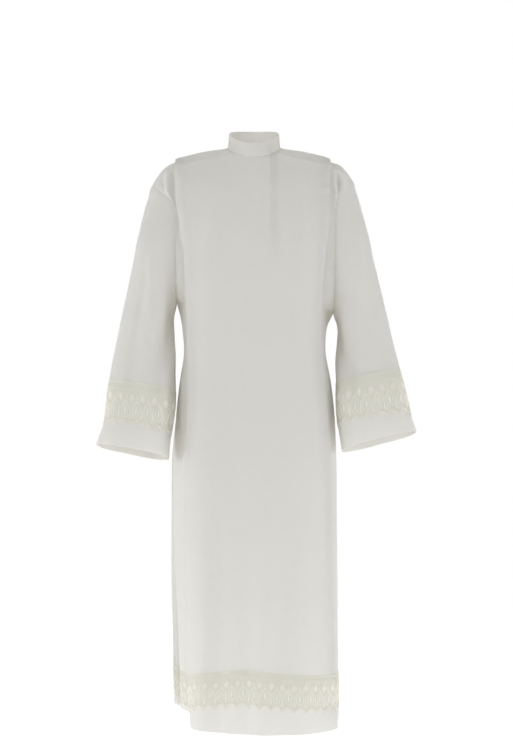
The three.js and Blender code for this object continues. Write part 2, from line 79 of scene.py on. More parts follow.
def run_of(line):
    """How far along a line each of its points is."""
    return np.append(0, np.cumsum(np.linalg.norm(np.diff(line, axis=0), axis=1)))


def placed(side, x, y, z):
    """A point on one side, x out from the middle."""
    return np.array([SIDES[side] * x, y, z])


# ---------- Driving dimensions, as in the solids ----------

NECK = {"half_width": 64, "half_depth": 71, "middle_z": 12, "tilt": 22, "side_rise": 8}
COLLAR = {"height": 34, "foot_z": 1.7, "top_shrink": 0.955, "overlap": 1.5}
COLLAR_ENDS = {"outer": 40, "under": 20, "lap_over": 60, "tuck_from": 80, "tuck_to": 50}
PLACKET = {"inner": 40, "outer": 60, "rows": 5}
ARMHOLE = {
    "left": {"top_x": 246, "side_x": 198, "top_z": -62, "bottom_z": -392, "half_depth": 74},
    "right": {"top_x": 256, "side_x": 193, "top_z": -77, "bottom_z": -365, "half_depth": 74},
}
ARMHOLE_CURVE = {"depth_power": 0.7, "slope_power": 1.2, "slope_rate": 1.75}
ARM_ANGLES = [22, 42, 60, 78, 98, 118, 138, 159, 180]
SHOULDER_X = [178, 150, 120, 88]
NECK_FRONT = [60, 40, 20, 0]
NECK_BACK = [130, 146, 163, 180]
NECK_SIDE = [60, 85, 108, 130]
CHEST_ROWS = [-75, -125, -180, -238, -288, -330, -362, -395]
BACK_ROWS = [-90, -165, -232, -286, -330, -362, -395]
SKIRT_ROWS = [-435, -490, -560, -650, -760, -880, -1010, -1140]
HEM = {"front_z": -1407, "back_z": -1392, "front_y": -219, "back_y": 228}
LACE_BAND = 92
PANEL_COLUMNS = "z middle edge left right wrap turn_left turn_right"
FRONT = table(
    PANEL_COLUMNS,
    (-75, 100, 68, 187, 194, 0, 20, 20),
    (-125, 114, 84, 187, 191, 0, 28, 28),
    (-180, 125, 93, 184, 183, 0, 34, 34),
    (-238, 131, 97, 179, 174, 0, 38, 38),
    (-330, 136, 98, 170, 170, 0, 42, 42),
    (-450, 139, 97, 168, 167, 0, 48, 48),
    (-600, 147, 100, 179, 166, 0, 52, 56),
    (-760, 162, 104, 191, 173, 12, 55, 66),
    (-900, 176, 107, 194, 171, 28, 58, 74),
    (-1050, 190, 110, 195, 168, 52, 60, 80),
    (-1200, 204, 114, 198, 162, 86, 62, 86),
    (-1407, 219, 120, 205, 153, 124, 64, 90),
)
BACK = table(
    PANEL_COLUMNS,
    (-90, 108, 74, 188, 192, 0, 22, 22),
    (-165, 119, 84, 185, 187, 0, 32, 32),
    (-260, 126, 90, 179, 178, 0, 38, 38),
    (-365, 129, 92, 171, 171, 0, 42, 42),
    (-450, 131, 92, 168, 167, 0, 46, 46),
    (-560, 138, 95, 188, 184, 0, 40, 40),
    (-650, 147, 98, 204, 199, 0, 36, 36),
    (-760, 160, 102, 209, 210, 0, 34, 34),
    (-900, 176, 110, 210, 212, 0, 34, 34),
    (-1050, 192, 120, 210, 213, 0, 34, 34),
    (-1200, 207, 132, 209, 211, 0, 36, 36),
    (-1407, 228, 150, 208, 207, 0, 38, 38),
)
SIDE_COLUMNS = "z seam_x seam_y swell_x swell_y"
SIDE = {
    "left": table(
        SIDE_COLUMNS,
        (-395, 198, 0, 188, -60),
        (-450, 171, 0, 173, -45),
        (-500, 176, 4, 177, -42),
        (-560, 189, 8, 188, -40),
        (-650, 199, 14, 198, -36),
        (-760, 203, 18, 203, -34),
        (-1050, 202, 28, 206, -34),
        (-1407, 202, 48, 210, -30),
    ),
    "right": table(
        SIDE_COLUMNS,
        (-395, 193, 0, 186, -60),
        (-450, 169, 0, 172, -45),
        (-500, 170, 4, 173, -42),
        (-560, 182, 10, 182, -38),
        (-650, 190, 24, 193, -22),
        (-760, 194, 44, 200, -2),
        (-900, 192, 66, 201, 20),
        (-1050, 184, 88, 198, 44),
        (-1200, 174, 106, 192, 68),
        (-1407, 164, 120, 185, 92),
    ),
}
PLEAT = table(
    "z gap under",
    (0, 5, 24), (-125, 5.5, 26), (-300, 7, 28), (-450, 8, 30), (-760, 9.5, 34), (-1407, 13, 42),
)
LEAN = {"front": [50, 32, 16, 6], "back": [50, 88, 62, 34, 12]}
PLEAT_END = {"along": 0.4, "down": 1.8, "bulge": 0.55}
FOLD_NOSE = {"flat": 0.55, "drop": 0.42}  # of half the gap: a pressed fold turns sharply at its front
SHOULDER = table(
    "y88 z88 y120 z120 y150 z150 y178 z178 edge_y edge_z crease_y crease_z",
    (-43, -5, -48, -13, -50, -20, -51.5, -25, -52, -28, -41, -50),
    (3, 16, 3, 11.5, 3, 5, 2, -2, 1, -7, 0, -33),
    (35, 11, 37, 5, 38, -2, 38, -9, 37, -15, 33, -42),
    (69, -7, 73, -16, 74, -26, 72, -36, 68, -44, 54, -74),
)
SHOULDER_EDGE = {"left": 190, "right": 196}
SHOULDER_FALL = 0.18
CREASE_FOLLOWS = 0.5
CREASE = {"left": 217, "right": 226}
SLEEVE_COLUMNS = "out_x out_z in_x in_z half_depth middle_y tilt"
SLEEVE = {
    "right": table(
        SLEEVE_COLUMNS,
        (283, -180, 202, -407, 84, -2, 2),
        (301, -275, 200, -450, 82, -6, 4),
        (320, -370, 196, -495, 78, -12, 6),
        (339, -468, 196, -542, 73, -22, 8),
        (358, -564, 195, -589, 67, -34, 9),
        (364, -618, 199, -645, 62, -44, 10),
        (371, -672, 206, -700, 58, -54, 11),
        (389, -719, 210, -754, 54, -64, 12),
    ),
    "left": table(
        SLEEVE_COLUMNS,
        (277, -172, 209, -432, 84, -2, 2),
        (297, -262, 207, -466, 82, -6, 4),
        (318, -352, 204, -498, 78, -12, 6),
        (340, -444, 204, -534, 73, -22, 8),
        (363, -537, 205, -569, 67, -36, 9),
        (375, -592, 205, -624, 62, -48, 10),
        (388, -649, 208, -680, 58, -58, 11),
        (401, -687, 217, -735, 54, -66, 12),
    ),
}
SLEEVE_ROUND = 0.86
LACE_TOP = table(
    "share front back",
    (0.0, -1299, -1270),
    (0.14, -1288, -1272),
    (0.28, -1268, -1268),
    (0.5, -1253, -1264),
    (0.72, -1264, -1268),
    (1.0, -1276, -1276),
)
LACE_TOP_SIDE = {"right": -1297, "left": -1282}
SEAM_COLUMNS = 9  # columns of each side outside a panel's own
FOLD_COLUMNS = 3  # those of them that round the fold edge
CURVE_STEPS = 90
CORNER = SEAM_COLUMNS + len(SHOULDER_X)  # column of the neck's corner


# ---------- Camera ----------

CAMERA_PLACE = (0.006, -4.75, -0.547)  # level with the garment's middle
CAMERA_LENS = 91.2


def add_camera():
    data = bpy.data.cameras.new("camera")
    data.lens = CAMERA_LENS
    camera = bpy.data.objects.new("camera", data)
    camera.location = CAMERA_PLACE
    camera.rotation_euler = (math.pi / 2, 0, 0)
    bpy.context.collection.objects.link(camera)
    bpy.context.scene.camera = camera


# ---------- Control nets: the middle of the cloth, rows from the top ----------


def neck_point(degrees):
    """A point of the neck seam. The angle runs from centre front, positive to the wearer's left."""
    a = np.asarray(degrees, float) * RAD
    z = NECK["middle_z"] - NECK["tilt"] * np.cos(a) + NECK["side_rise"] * np.sin(a) ** 2
    return np.stack([NECK["half_width"] * np.sin(a), -NECK["half_depth"] * np.cos(a), z], -1)


def armhole_point(side, degrees):
    """A point of the armhole seam. The angle runs from the shoulder tip, positive to the front."""
    hole, curve, a = ARMHOLE[side], ARMHOLE_CURVE, abs(degrees) * RAD
    slope = max(0, math.cos(min(curve["slope_rate"] * a, math.pi / 2))) ** curve["slope_power"]
    deep = hole["half_depth"] * max(0, math.sin(a)) ** curve["depth_power"]
    y = 0 if abs(degrees) in (0, 180) else -math.copysign(deep, degrees)
    middle, half = (hole["top_z"] + hole["bottom_z"]) / 2, (hole["top_z"] - hole["bottom_z"]) / 2
    return placed(side, mix(hole["side_x"], hole["top_x"], slope), y, middle + half * math.cos(a))


def side_seam_point(side, z):
    return placed(side, at(SIDE[side], z, "seam_x"), at(SIDE[side], z, "seam_y"), z)


def panel_curve(rows, z, facing):
    """Points along a panel at one height, as a function of the share from right to left."""
    edge, left, right = (at(rows, z, name) for name in ("edge", "left", "right"))
    rise, wrap = at(rows, z, "middle") - edge, at(rows, z, "wrap")
    a = np.linspace(0, math.pi, CURVE_STEPS + 1)
    x = (left - right) / 2 - (left + right) / 2 * np.cos(a)
    points = np.column_stack([x, facing * (edge + rise * np.sin(a)), np.full(a.size, z)])
    points = np.vstack([[-right, facing * (edge - wrap), z], points])
    length = run_of(points)
    return lambda share: np.array([np.interp(share * length[-1], length, axis) for axis in points.T])


def pleat_columns(edge, out, inward, gap, under, end, bulge):
    """The nine columns of a side, from the fold edge outwards to the seam."""

    def place(along, down):
        return edge + out * along + inward * down

    turn = gap / 2
    fold = [place(-FOLD_NOSE["flat"] * turn, 0), place(0, FOLD_NOSE["drop"] * turn), place(-turn, gap)]
    inner = [place(turn - under, gap), place(-under, gap + turn), place(turn - under, 2 * gap)]
    first = place(PLEAT_END["along"] * gap, PLEAT_END["down"] * gap)
    middle = mix(first, end, PLEAT_END["bulge"]) if bulge is None else bulge
    return [*fold, *inner, first, middle, end]


def fold_directions(side, facing, turn, lean):
    """Outwards along the panel at its fold edge, and inwards to the pleat's next layer."""
    s, a, b = SIDES[side], turn * RAD, lean * RAD
    out = np.array([s * math.cos(a), -facing * math.sin(a), 0])
    level = np.array([-s * math.sin(a), -facing * math.cos(a), 0])
    return out, level * math.cos(b) + np.array([0, 0, -math.sin(b)])


def column_shares():
    """Shares of the panel's width at which its columns lie, as on the shoulder seam."""
    half = [*SHOULDER_X, *(float(neck_point(a)[0]) for a in NECK_FRONT[:-1])]
    xs = np.array([-x for x in half] + [0] + half[::-1])
    return (xs + SHOULDER_EDGE["right"]) / (SHOULDER_EDGE["right"] + SHOULDER_EDGE["left"])


SHARES = column_shares()
COLUMNS = 2 * SEAM_COLUMNS + len(SHARES)
CORNERS = CORNER, COLUMNS - 1 - CORNER


def panel_row(inner, pleats):
    """One row of a panel, from the wearer's right seam to the left one."""
    return np.array([*pleats["right"][::-1], *inner, *pleats["left"]])


def level_row(rows, facing, z, ends, lean):
    """A level row. ends gives its seam points on each side."""
    curve = panel_curve(rows, z, facing)
    gap, under = at(PLEAT, z, "gap"), at(PLEAT, z, "under")
    pleats = {}
    for side, share in (("left", 1), ("right", 0)):
        out, inward = fold_directions(side, facing, at(rows, z, "turn_" + side), lean)
        swell = placed(side, at(SIDE[side], z, "swell_x"), at(SIDE[side], z, "swell_y"), z)
        bulge = swell if facing < 0 and z < SIDE[side]["z"][0] else None
        pleats[side] = pleat_columns(curve(share), out, inward, gap, under, ends[side], bulge)
    return panel_row([curve(share) for share in SHARES], pleats)


def shoulder_row(index, facing, neck, angle, lean):
    """A row over the shoulder. neck gives the points of the neck's columns, from right to left."""
    row, pleats, out = nth_row(SHOULDER, index), {}, {}
    gap, under = PLEAT["gap"][0], PLEAT["under"][0]
    for side in SIDES:
        out[side] = [placed(side, x, row[f"y{x}"], row[f"z{x}"]) for x in SHOULDER_X]
        along, inward = fold_directions(side, facing, 0, lean)
        along = along - np.array([0, 0, SHOULDER_FALL])
        along /= np.linalg.norm(along)
        edge = placed(side, SHOULDER_EDGE[side], row["edge_y"], row["edge_z"])
        end = armhole_point(side, angle)
        drop = (end[2] - armhole_point("right", angle)[2]) * CREASE_FOLLOWS
        bulge = placed(side, CREASE[side], row["crease_y"], row["crease_z"] + drop)
        pleats[side] = pleat_columns(edge, along, inward, gap, under, end, bulge)
    return panel_row([*out["right"], *neck, *out["left"][::-1]], pleats)


def lace_top_at(column, facing):
    which = "front" if facing < 0 else "back"
    place = column - SEAM_COLUMNS
    if 0 <= place < len(SHARES):
        return at(LACE_TOP, SHARES[place], which)
    right = column < SEAM_COLUMNS
    edge = at(LACE_TOP, 0 if right else 1, which)
    from_seam = column if right else COLUMNS - 1 - column
    share = min(1, from_seam / (SEAM_COLUMNS - FOLD_COLUMNS))
    return mix(LACE_TOP_SIDE["right" if right else "left"], edge, share)


def skirt_rows(rows, facing):
    def level(z):
        return level_row(rows, facing, z, {side: side_seam_point(side, z) for side in SIDES}, 0)

    def sloping(drop):
        return np.array([level(lace_top_at(c, facing) - drop)[c] for c in range(COLUMNS)])

    hem = level(HEM["front_z"])
    share = (hem[:, 1] - HEM["front_y"]) / (HEM["back_y"] - HEM["front_y"])
    hem[:, 2] = mix(HEM["front_z"], HEM["back_z"], share)
    return [*(level(z) for z in SKIRT_ROWS), sloping(0), sloping(LACE_BAND), hem]


def armhole_rows(rows, facing, heights, angles, leans):
    found = []
    for i, (z, angle) in enumerate(zip(heights, angles)):
        ends = {side: armhole_point(side, angle) for side in SIDES}
        found.append(level_row(rows, facing, z, ends, leans[i] if i < len(leans) else 0))
    return found


def neck_columns(angles):
    """Points of the neck seam from right to left. The last of the angles is the middle's."""
    return [neck_point(a) for a in [-a for a in angles] + angles[-2::-1]]


def front_net():
    return np.array([
        shoulder_row(0, -1, neck_columns(NECK_FRONT), ARM_ANGLES[0], LEAN["front"][0]),
        *armhole_rows(FRONT, -1, CHEST_ROWS, ARM_ANGLES[1:], LEAN["front"][1:]),
        *skirt_rows(FRONT, -1),
    ])


def back_net():
    angles = [ARM_ANGLES[0], 0, *(-a for a in ARM_ANGLES)]
    over = []
    for i, angle in enumerate(NECK_SIDE):
        neck = neck_columns([angle, *NECK_BACK[1:]])
        over.append(shoulder_row(i, 1 if i else -1, neck, angles[i], LEAN["back"][i]))
    count = len(over)
    return np.array([
        *over,
        *armhole_rows(BACK, 1, BACK_ROWS, angles[count:], LEAN["back"][count:]),
        *skirt_rows(BACK, 1),
    ])


def arm_angles():
    half = ARM_ANGLES[:-1]
    return [0, *half, 180, *(-a for a in half[::-1])]


def sleeve_net(side):
    rows = [[armhole_point(side, a) for a in arm_angles()]]
    a = np.array(arm_angles()) * RAD
    up, ahead = (np.sign(v) * np.abs(v) ** SLEEVE_ROUND for v in (np.cos(a), np.sin(a)))
    for i in range(len(SLEEVE[side]["tilt"])):
        row = nth_row(SLEEVE[side], i)
        share, deep, tilt = (1 + up) / 2, ahead * row["half_depth"], row["tilt"] * RAD
        x = SIDES[side] * mix(row["in_x"], row["out_x"], share)
        z = mix(row["in_z"], row["out_z"], share) + deep * math.sin(tilt)
        rows.append(np.column_stack([x, row["middle_y"] - deep * math.cos(tilt), z]))
    return np.array(rows)


# ---------- Fine surfaces ----------

CLOTH = 1.0  # thickness of one layer
SPACING = 7.0  # of the fine grid
FOLD_STEPS = 3  # least fine steps in each segment of the net
SIDE_STEPS = 8  # those of the two segments between a pleat and its seam
SHARP = 55  # degrees between faces from which an edge is shown sharp
PAST_LAST = 1.000001  # a place stays this far below the number of lines, and so within the last cell


def smooth_through(points, counts, closed=False):
    """Points on a smooth curve through points, an array (n, k, 3) run along axis 0. counts gives the
    steps between each two. The curve is a centripetal Catmull-Rom spline, so it doesn't overshoot."""
    if closed:
        p = np.concatenate([points[-1:], points, points[:2]])
    else:
        p = np.concatenate([2 * points[:1] - points[1:2], points, 2 * points[-1:] - points[-2:-1]])
    gap = np.maximum(np.linalg.norm(np.diff(p, axis=0), axis=-1, keepdims=True), TINY_GAP) ** 0.5
    pieces = []
    for i, count in enumerate(counts):
        p0, p1, p2, p3 = p[i : i + 4]
        a, b, c = gap[i : i + 3]
        m1 = b * ((p1 - p0) / a - (p2 - p0) / (a + b) + (p2 - p1) / b)
        m2 = b * ((p2 - p1) / b - (p3 - p1) / (b + c) + (p3 - p2) / c)
        t = np.linspace(0, 1, count, endpoint=False)[:, None, None]
        pieces.append(
            (2 * t**3 - 3 * t**2 + 1) * p1 + (t**3 - 2 * t**2 + t) * m1
            + (3 * t**2 - 2 * t**3) * p2 + (t**3 - t**2) * m2
        )
    if not closed:
        pieces.append(points[-1:])
    return np.concatenate(pieces)


def steps(net, axis, closed=False):
    """How many fine steps each segment of the net along an axis gets."""
    chord = np.linalg.norm(np.roll(net, -1, axis=axis) - net, axis=-1).mean(axis=1 - axis)
    if not closed:
        chord = chord[:-1]
    return [max(FOLD_STEPS, math.ceil(c / SPACING)) for c in chord]


def shared_steps(first, second):
    """The greater of two lists of steps, counted from their ends."""
    shorter = min(len(first), len(second))
    most = [max(a, b) for a, b in zip(first[-shorter:], second[-shorter:])]
    return first[:-shorter] + most, second[:-shorter] + most


def places(counts, closed=False):
    """Where each fine line lies in the net, as a net line's number and a share."""
    found = [i + k / n for i, n in enumerate(counts) for k in range(n)]
    return np.array(found if closed else found + [len(counts)])


def count_steps(row_at, first, last):
    return [int(((row_at >= i) & (row_at < i + 1)).sum()) for i in range(first, last)]


class Sheet:
    """A fine grid of points on the middle of a piece of cloth. Seen from outside its rows run down
    and its columns to the right. row_at and column_at give each fine line's place in the net."""

    def __init__(self, name, points, row_at, column_at, closed=False, mask=None):
        self.name, self.points, self.closed = name, points, closed
        self.row_at, self.column_at = row_at, column_at
        cells = (points.shape[0] - 1, points.shape[1] - (0 if closed else 1))
        self.mask = np.ones(cells, bool) if mask is None else mask
        # The column that follows each column of cells.
        self.after = (np.arange(cells[1]) + 1) % points.shape[1]
        # How far the two faces lie from the middle of the cloth, along its normal.
        self.low, self.high = (np.full(points.shape[:2], side * CLOTH / 2) for side in (-1, 1))

    def turn_over(self):
        """Reverses the columns, so that the outer face is the other one."""
        self.points, self.column_at = self.points[:, ::-1], self.column_at[::-1]
        self.mask = self.mask[:, ::-1]

    def measure(self):
        """Outward normals, and how far each point is from its row's middle and its column's top."""
        p, after, count = self.points, self.after, len(self.after)
        normal = unit(np.cross(p[1:, after] - p[:-1, :count], p[:-1, after] - p[1:, :count]))
        normal *= self.mask[..., None]
        total = np.zeros_like(p)
        for columns in (slice(count), after):
            total[:-1, columns] += normal
            total[1:, columns] += normal
        self.normals = unit(total)
        across = np.linalg.norm(p[:, after] - p[:, :count], axis=-1)
        across = np.pad(np.cumsum(across, 1), ((0, 0), (1, 0)))
        self.across = across - across[:, count // 2][:, None]
        down = np.linalg.norm(np.diff(p, axis=0), axis=-1)
        self.down = np.pad(np.cumsum(down, 0), ((1, 0), (0, 0)))

    def row_of(self, net_row):
        return int(np.argmin(np.abs(self.row_at - net_row)))

    def column_of(self, net_column):
        return int(np.argmin(np.abs(self.column_at - net_column)))

    def push(self, amount):
        """Moves each point along its normal, by millimetres."""
        self.points = self.points + self.normals * amount[..., None]
        self.measure()

    def sample(self, rows, columns, lift=0.0):
        """Points over the outer face at fractional fine rows and columns, and their normals."""
        face = self.points + self.normals * self.high[..., None]
        height, width = self.points.shape[:2]
        r = np.clip(rows, 0, height - PAST_LAST)
        c = np.mod(columns, width) if self.closed else np.clip(columns, 0, width - PAST_LAST)
        r0, c0 = np.floor(r).astype(int), np.floor(c).astype(int)
        fr, fc = (r - r0)[..., None], (c - c0)[..., None]
        c1 = (c0 + 1) % width

        def blend(grid):
            top = grid[r0, c0] * (1 - fc) + grid[r0, c1] * fc
            low = grid[r0 + 1, c0] * (1 - fc) + grid[r0 + 1, c1] * fc
            return top * (1 - fr) + low * fr

        normal = unit(blend(self.normals))
        return blend(face) + normal * np.asarray(lift)[..., None], normal


def body_sheet(name, net, neck_rows, rows, columns):
    """A panel. Above row neck_rows its columns between the neck's corners have no cloth."""
    last = net.shape[1] - 1
    lines = []
    for r, row in enumerate(net):
        # The rows beside the neck stop at its corners, and so do their curves.
        cuts = [0, *CORNERS, last] if r < max(neck_rows, 1) else [0, last]
        parts = [
            smooth_through(row[a : b + 1, None], columns[a:b])[:-1, 0] for a, b in zip(cuts, cuts[1:])
        ]
        lines.append(np.concatenate([*parts, row[-1:]]))
    lines = np.array(lines)
    column_at, row_at = places(columns), places(rows)
    points = smooth_through(lines, rows)
    mask = None
    if neck_rows:
        inside = (column_at > CORNERS[0]) & (column_at < CORNERS[1])
        start = sum(rows[:neck_rows])
        points[start:, inside] = smooth_through(lines[neck_rows:, inside], rows[neck_rows:])
        points[:start, inside] = lines[neck_rows, inside]
        cells = (column_at[:-1] >= CORNERS[0]) & (column_at[:-1] < CORNERS[1])
        mask = ~(cells[None, :] & (np.arange(len(row_at) - 1) < start)[:, None])
    return Sheet(name, points, row_at, column_at, mask=mask)


def sleeve_sheet(side, front, back):
    """A sleeve. Its steps round the armhole are those of the two panels' rows there."""
    net = sleeve_net(side)
    last = len(ARM_ANGLES) - 1
    down_front = count_steps(front.row_at, 0, last)
    over_and_down = count_steps(back.row_at, 0, last + 2)
    # From the shoulder tip to the front shoulder seam, down the front, and up the back.
    columns = [over_and_down[0], *down_front, *over_and_down[2:][::-1], over_and_down[1]]
    rows = steps(net, 0)
    rings = smooth_through(np.swapaxes(net, 0, 1), columns, closed=True)
    points = smooth_through(np.swapaxes(rings, 0, 1), rows)
    return Sheet("sleeve_" + side, points, places(rows), places(columns, closed=True), closed=True)


def match_edges(first, second, lines_of_first, lines_of_second):
    """Moves two edges onto the line midway between them, and eases the move out over their lines.
    A line is a pair of index arrays (rows, columns), and the lines run from the edge inwards."""
    middle = (first.points[lines_of_first[0]] + second.points[lines_of_second[0]]) / 2
    for sheet, lines in ((first, lines_of_first), (second, lines_of_second)):
        move = middle - sheet.points[lines[0]]
        for k, line in enumerate(lines):
            sheet.points[line] += move * (1 - k / len(lines)) ** 2


EASE_LINES = 6  # fine lines over which a moved edge eases out
# Fine lines each way from a corner of the neck, how often it is evened, how strongly, and how far down
# the whole strength holds.
NECK_SOFT = {"columns": 9, "rows": 26, "times": 40, "weight": 0.5, "hold": 1.6}


def join_body(front, back, sleeves):
    """Makes the edges that two pieces share the same line."""
    last = front.points.shape[1] - 1
    corners = [front.column_of(c) for c in CORNERS]
    for columns in (np.arange(corners[0] + 1), np.arange(corners[1], last + 1)):
        lines = [(np.full(len(columns), k), columns) for k in range(EASE_LINES)]
        match_edges(front, back, lines, lines)
    # Side seams: the rows from the underarm down.
    f0, b0 = front.row_of(len(ARM_ANGLES) - 1), back.row_of(len(ARM_ANGLES) + 1)
    down = np.arange(len(front.row_at) - f0)
    for inwards in (range(EASE_LINES), range(last, last - EASE_LINES, -1)):
        of_front, of_back = (
            [(start + down, np.full(len(down), c)) for c in inwards] for start in (f0, b0)
        )
        match_edges(front, back, of_front, of_back)
    # Armholes: over the shoulder, down the front and up the back.
    tip = back.row_of(1)
    for sleeve in sleeves:
        column = 0 if sleeve.name == "sleeve_right" else last
        edge = [
            *back.points[tip:0:-1, column], *front.points[:f0, column], *back.points[b0:tip:-1, column]
        ]
        reach = sleeve.row_of(2)
        move = np.array(edge) - sleeve.points[0]
        for k in range(reach):
            sleeve.points[k] += move * (1 - k / reach) ** 2


def soften_corners(sheet, start):
    """Evens a panel below the neck's corners, where rows over the shoulder meet those of the neck."""
    wide, deep = NECK_SOFT["columns"], NECK_SOFT["rows"]
    for net_column in CORNERS:
        middle = sheet.column_of(net_column)
        columns = np.arange(middle - wide, middle + wide + 1)
        rows = np.arange(start + 1, start + deep + 1)
        near = ease(1 - np.abs(columns - middle) / wide)
        high = ease((1 - (rows - start) / deep) * NECK_SOFT["hold"])
        weight = (NECK_SOFT["weight"] * high[:, None] * near[None, :])[..., None]
        block = np.ix_(rows, columns)
        for _ in range(NECK_SOFT["times"]):
            beside = [sheet.points[np.ix_(rows, columns + step)] for step in (-1, 1)]
            sheet.points[block] += (sum(beside) / 2 - sheet.points[block]) * weight


def make_sheets():
    """The body's two panels and the sleeves, joined, with their outer faces out."""
    nets = front_net(), back_net()
    neck_rows = len(NECK_SIDE) - 1
    columns, _ = shared_steps(steps(nets[0], 1), steps(nets[1][neck_rows:], 1))
    for c in (0, 1, len(columns) - 2, len(columns) - 1):
        columns[c] = max(columns[c], SIDE_STEPS)
    rows = shared_steps(steps(nets[0], 0), steps(nets[1], 0))
    front = body_sheet("front", nets[0], 0, rows[0], columns)
    back = body_sheet("back", nets[1], neck_rows, rows[1], columns)
    left, right = (sleeve_sheet(side, front, back) for side in ("left", "right"))
    join_body(front, back, [left, right])
    soften_corners(front, 0)
    soften_corners(back, sum(rows[1][:neck_rows]))
    for made in (back, left):
        made.turn_over()
    for made in (front, back, left, right):
        made.measure()
    return front, back, left, right


# ---------- Folds ----------

# Each soft fold is a list of points (place across, height, rise, half its width). A ridge rises and
# a trough has a negative rise. On the panels the first two are x and z.
FRONT_FOLDS = [
    [(60, -380, 0, 45), (88, -620, 3, 60), (102, -900, 6, 68), (108, -1150, 8, 74),
     (112, -1420, 9, 80)],
    [(-30, -330, 0, 40), (-44, -600, -3, 50), (-54, -900, -5, 58), (-58, -1150, -7, 62),
     (-60, -1420, -8, 70)],
    [(20, -640, 0, 22), (26, -980, 4, 27), (24, -1420, 6, 34)],
    [(-118, -560, 0, 24), (-126, -960, 5, 30), (-130, -1420, 8, 34)],
    [(160, -700, 0, 18), (164, -1050, -4, 22), (160, -1420, -6, 26)],
    [(-10, -900, 0, 14), (-14, -1200, -3, 18), (-20, -1420, -4.5, 22)],
    [(72, -760, 0, 16), (66, -1100, -4, 21), (60, -1420, -6, 26)],
    [(-84, -820, 0, 16), (-88, -1150, -4.5, 20), (-92, -1420, -6.5, 24)],
    [(-96, -60, 0, 14), (-108, -180, 3.5, 19), (-116, -300, 3, 22), (-120, -440, 0, 26)],
    [(108, -60, 0, 14), (116, -190, 3.5, 19), (118, -320, 3, 22), (114, -470, 0, 26)],
    [(-60, -96, 0, 16), (-36, -150, -1.6, 22), (0, -176, -2, 26), (40, -146, -1.6, 22),
     (64, -92, 0, 16)],
    [(142, -70, 0, 6), (166, -75, -1.6, 7), (188, -74, -2.2, 7)],
    [(150, -92, 0, 7), (168, -90, 1.4, 8), (188, -90, 1.8, 8)],
    [(140, -108, 0, 6), (166, -104, -1.6, 7), (188, -102, -2.2, 7)],
    [(-150, -118, 0, 7), (-170, -112, -1.2, 8), (-190, -110, -1.4, 8)],
]
BACK_FOLDS = [
    [(4, -190, 0, 46), (10, -460, 3, 60), (14, -800, 6, 76), (8, -1150, 8, 84), (2, -1400, 9, 90)],
    [(-66, -150, 0, 26), (-82, -420, -3, 42), (-92, -800, -5, 56), (-100, -1400, -8, 64)],
    [(74, -150, 0, 26), (88, -430, -3, 42), (98, -800, -5, 54), (110, -1400, -7, 66)],
    [(-140, -420, 0, 26), (-152, -820, 3.5, 34), (-158, -1400, 5, 40)],
    [(150, -500, 0, 26), (158, -900, 3, 32), (164, -1400, 5, 38)],
    [(34, -220, 0, 18), (38, -480, 4, 25), (44, -900, 6.5, 31), (50, -1400, 9, 38)],
    [(-36, -280, 0, 18), (-40, -560, 4, 24), (-46, -940, 6.5, 30), (-52, -1400, 8, 36)],
    [(0, -500, 0, 16), (-2, -900, -4, 22), (0, -1400, -6, 28)],
    [(118, -400, 0, 18), (124, -800, 5, 24), (132, -1400, 8, 30)],
    [(-112, -520, 0, 18), (-122, -900, 4.5, 24), (-128, -1400, 7, 30)],
    [(-60, -80, 0, 14), (-112, -160, 3.2, 20), (-140, -260, 0, 26)],
    [(64, -80, 0, 14), (116, -168, 3.2, 20), (142, -270, 0, 26)],
    [(-70, -200, 0, 14), (-118, -290, 2.6, 18), (-146, -380, 0, 24)],
    [(80, -210, 0, 14), (124, -300, 2.6, 18), (148, -390, 0, 24)],
]
# Creases of the cloth between a pleat and the armhole or side seam, for each panel.
SIDE_FOLDS = {
    "front": [
        [(-203, -26, -6, 5), (-202, -60, -9, 6), (-199, -110, -9, 6), (-191, -180, -6, 8),
         (-184, -250, 0, 8)],
        [(-214, -36, 3, 5), (-214, -80, 7, 7), (-209, -130, 6, 7), (-202, -200, 4, 8),
         (-194, -280, 0, 8)],
        [(-226, -46, -3, 4), (-225, -72, -4, 4.5), (-220, -106, -2, 5), (-212, -130, 0, 5)],
        [(207, -38, -4, 4), (212, -66, -12, 5), (213, -115, -13, 5.5), (209, -170, -8, 7),
         (200, -250, 0, 8)],
        [(199, -44, 3, 4), (201, -100, 5, 5), (198, -170, 4, 7), (190, -240, 0, 8)],
        [(224, -56, 2, 4), (225, -96, 5, 5), (221, -150, 4, 6), (214, -220, 0, 7)],
        [(181, -242, 0, 6), (189, -262, 4, 7), (199, -288, 5, 7), (206, -322, 0, 6)],
        [(183, -268, 0, 5), (192, -292, -4, 6), (199, -322, 0, 6)],
        [(-186, -262, 0, 6), (-190, -290, 4, 7), (-196, -318, 0, 6)],
    ],
    "back": [
        [(-206, -60, -3, 6), (-204, -110, -6, 7), (-198, -180, -5, 8), (-190, -260, 0, 9)],
        [(-216, -70, 2, 6), (-214, -130, 3, 7), (-206, -220, 0, 8)],
        [(204, -60, -3, 6), (204, -110, -6, 7), (199, -190, -5, 8), (190, -270, 0, 9)],
        [(214, -70, 2, 6), (212, -130, 3, 7), (204, -230, 0, 8)],
        [(192, -270, 0, 6), (196, -300, 4, 7), (198, -340, 0, 6)],
        [(-190, -280, 0, 6), (-193, -310, 4, 7), (-194, -345, 0, 6)],
    ],
}
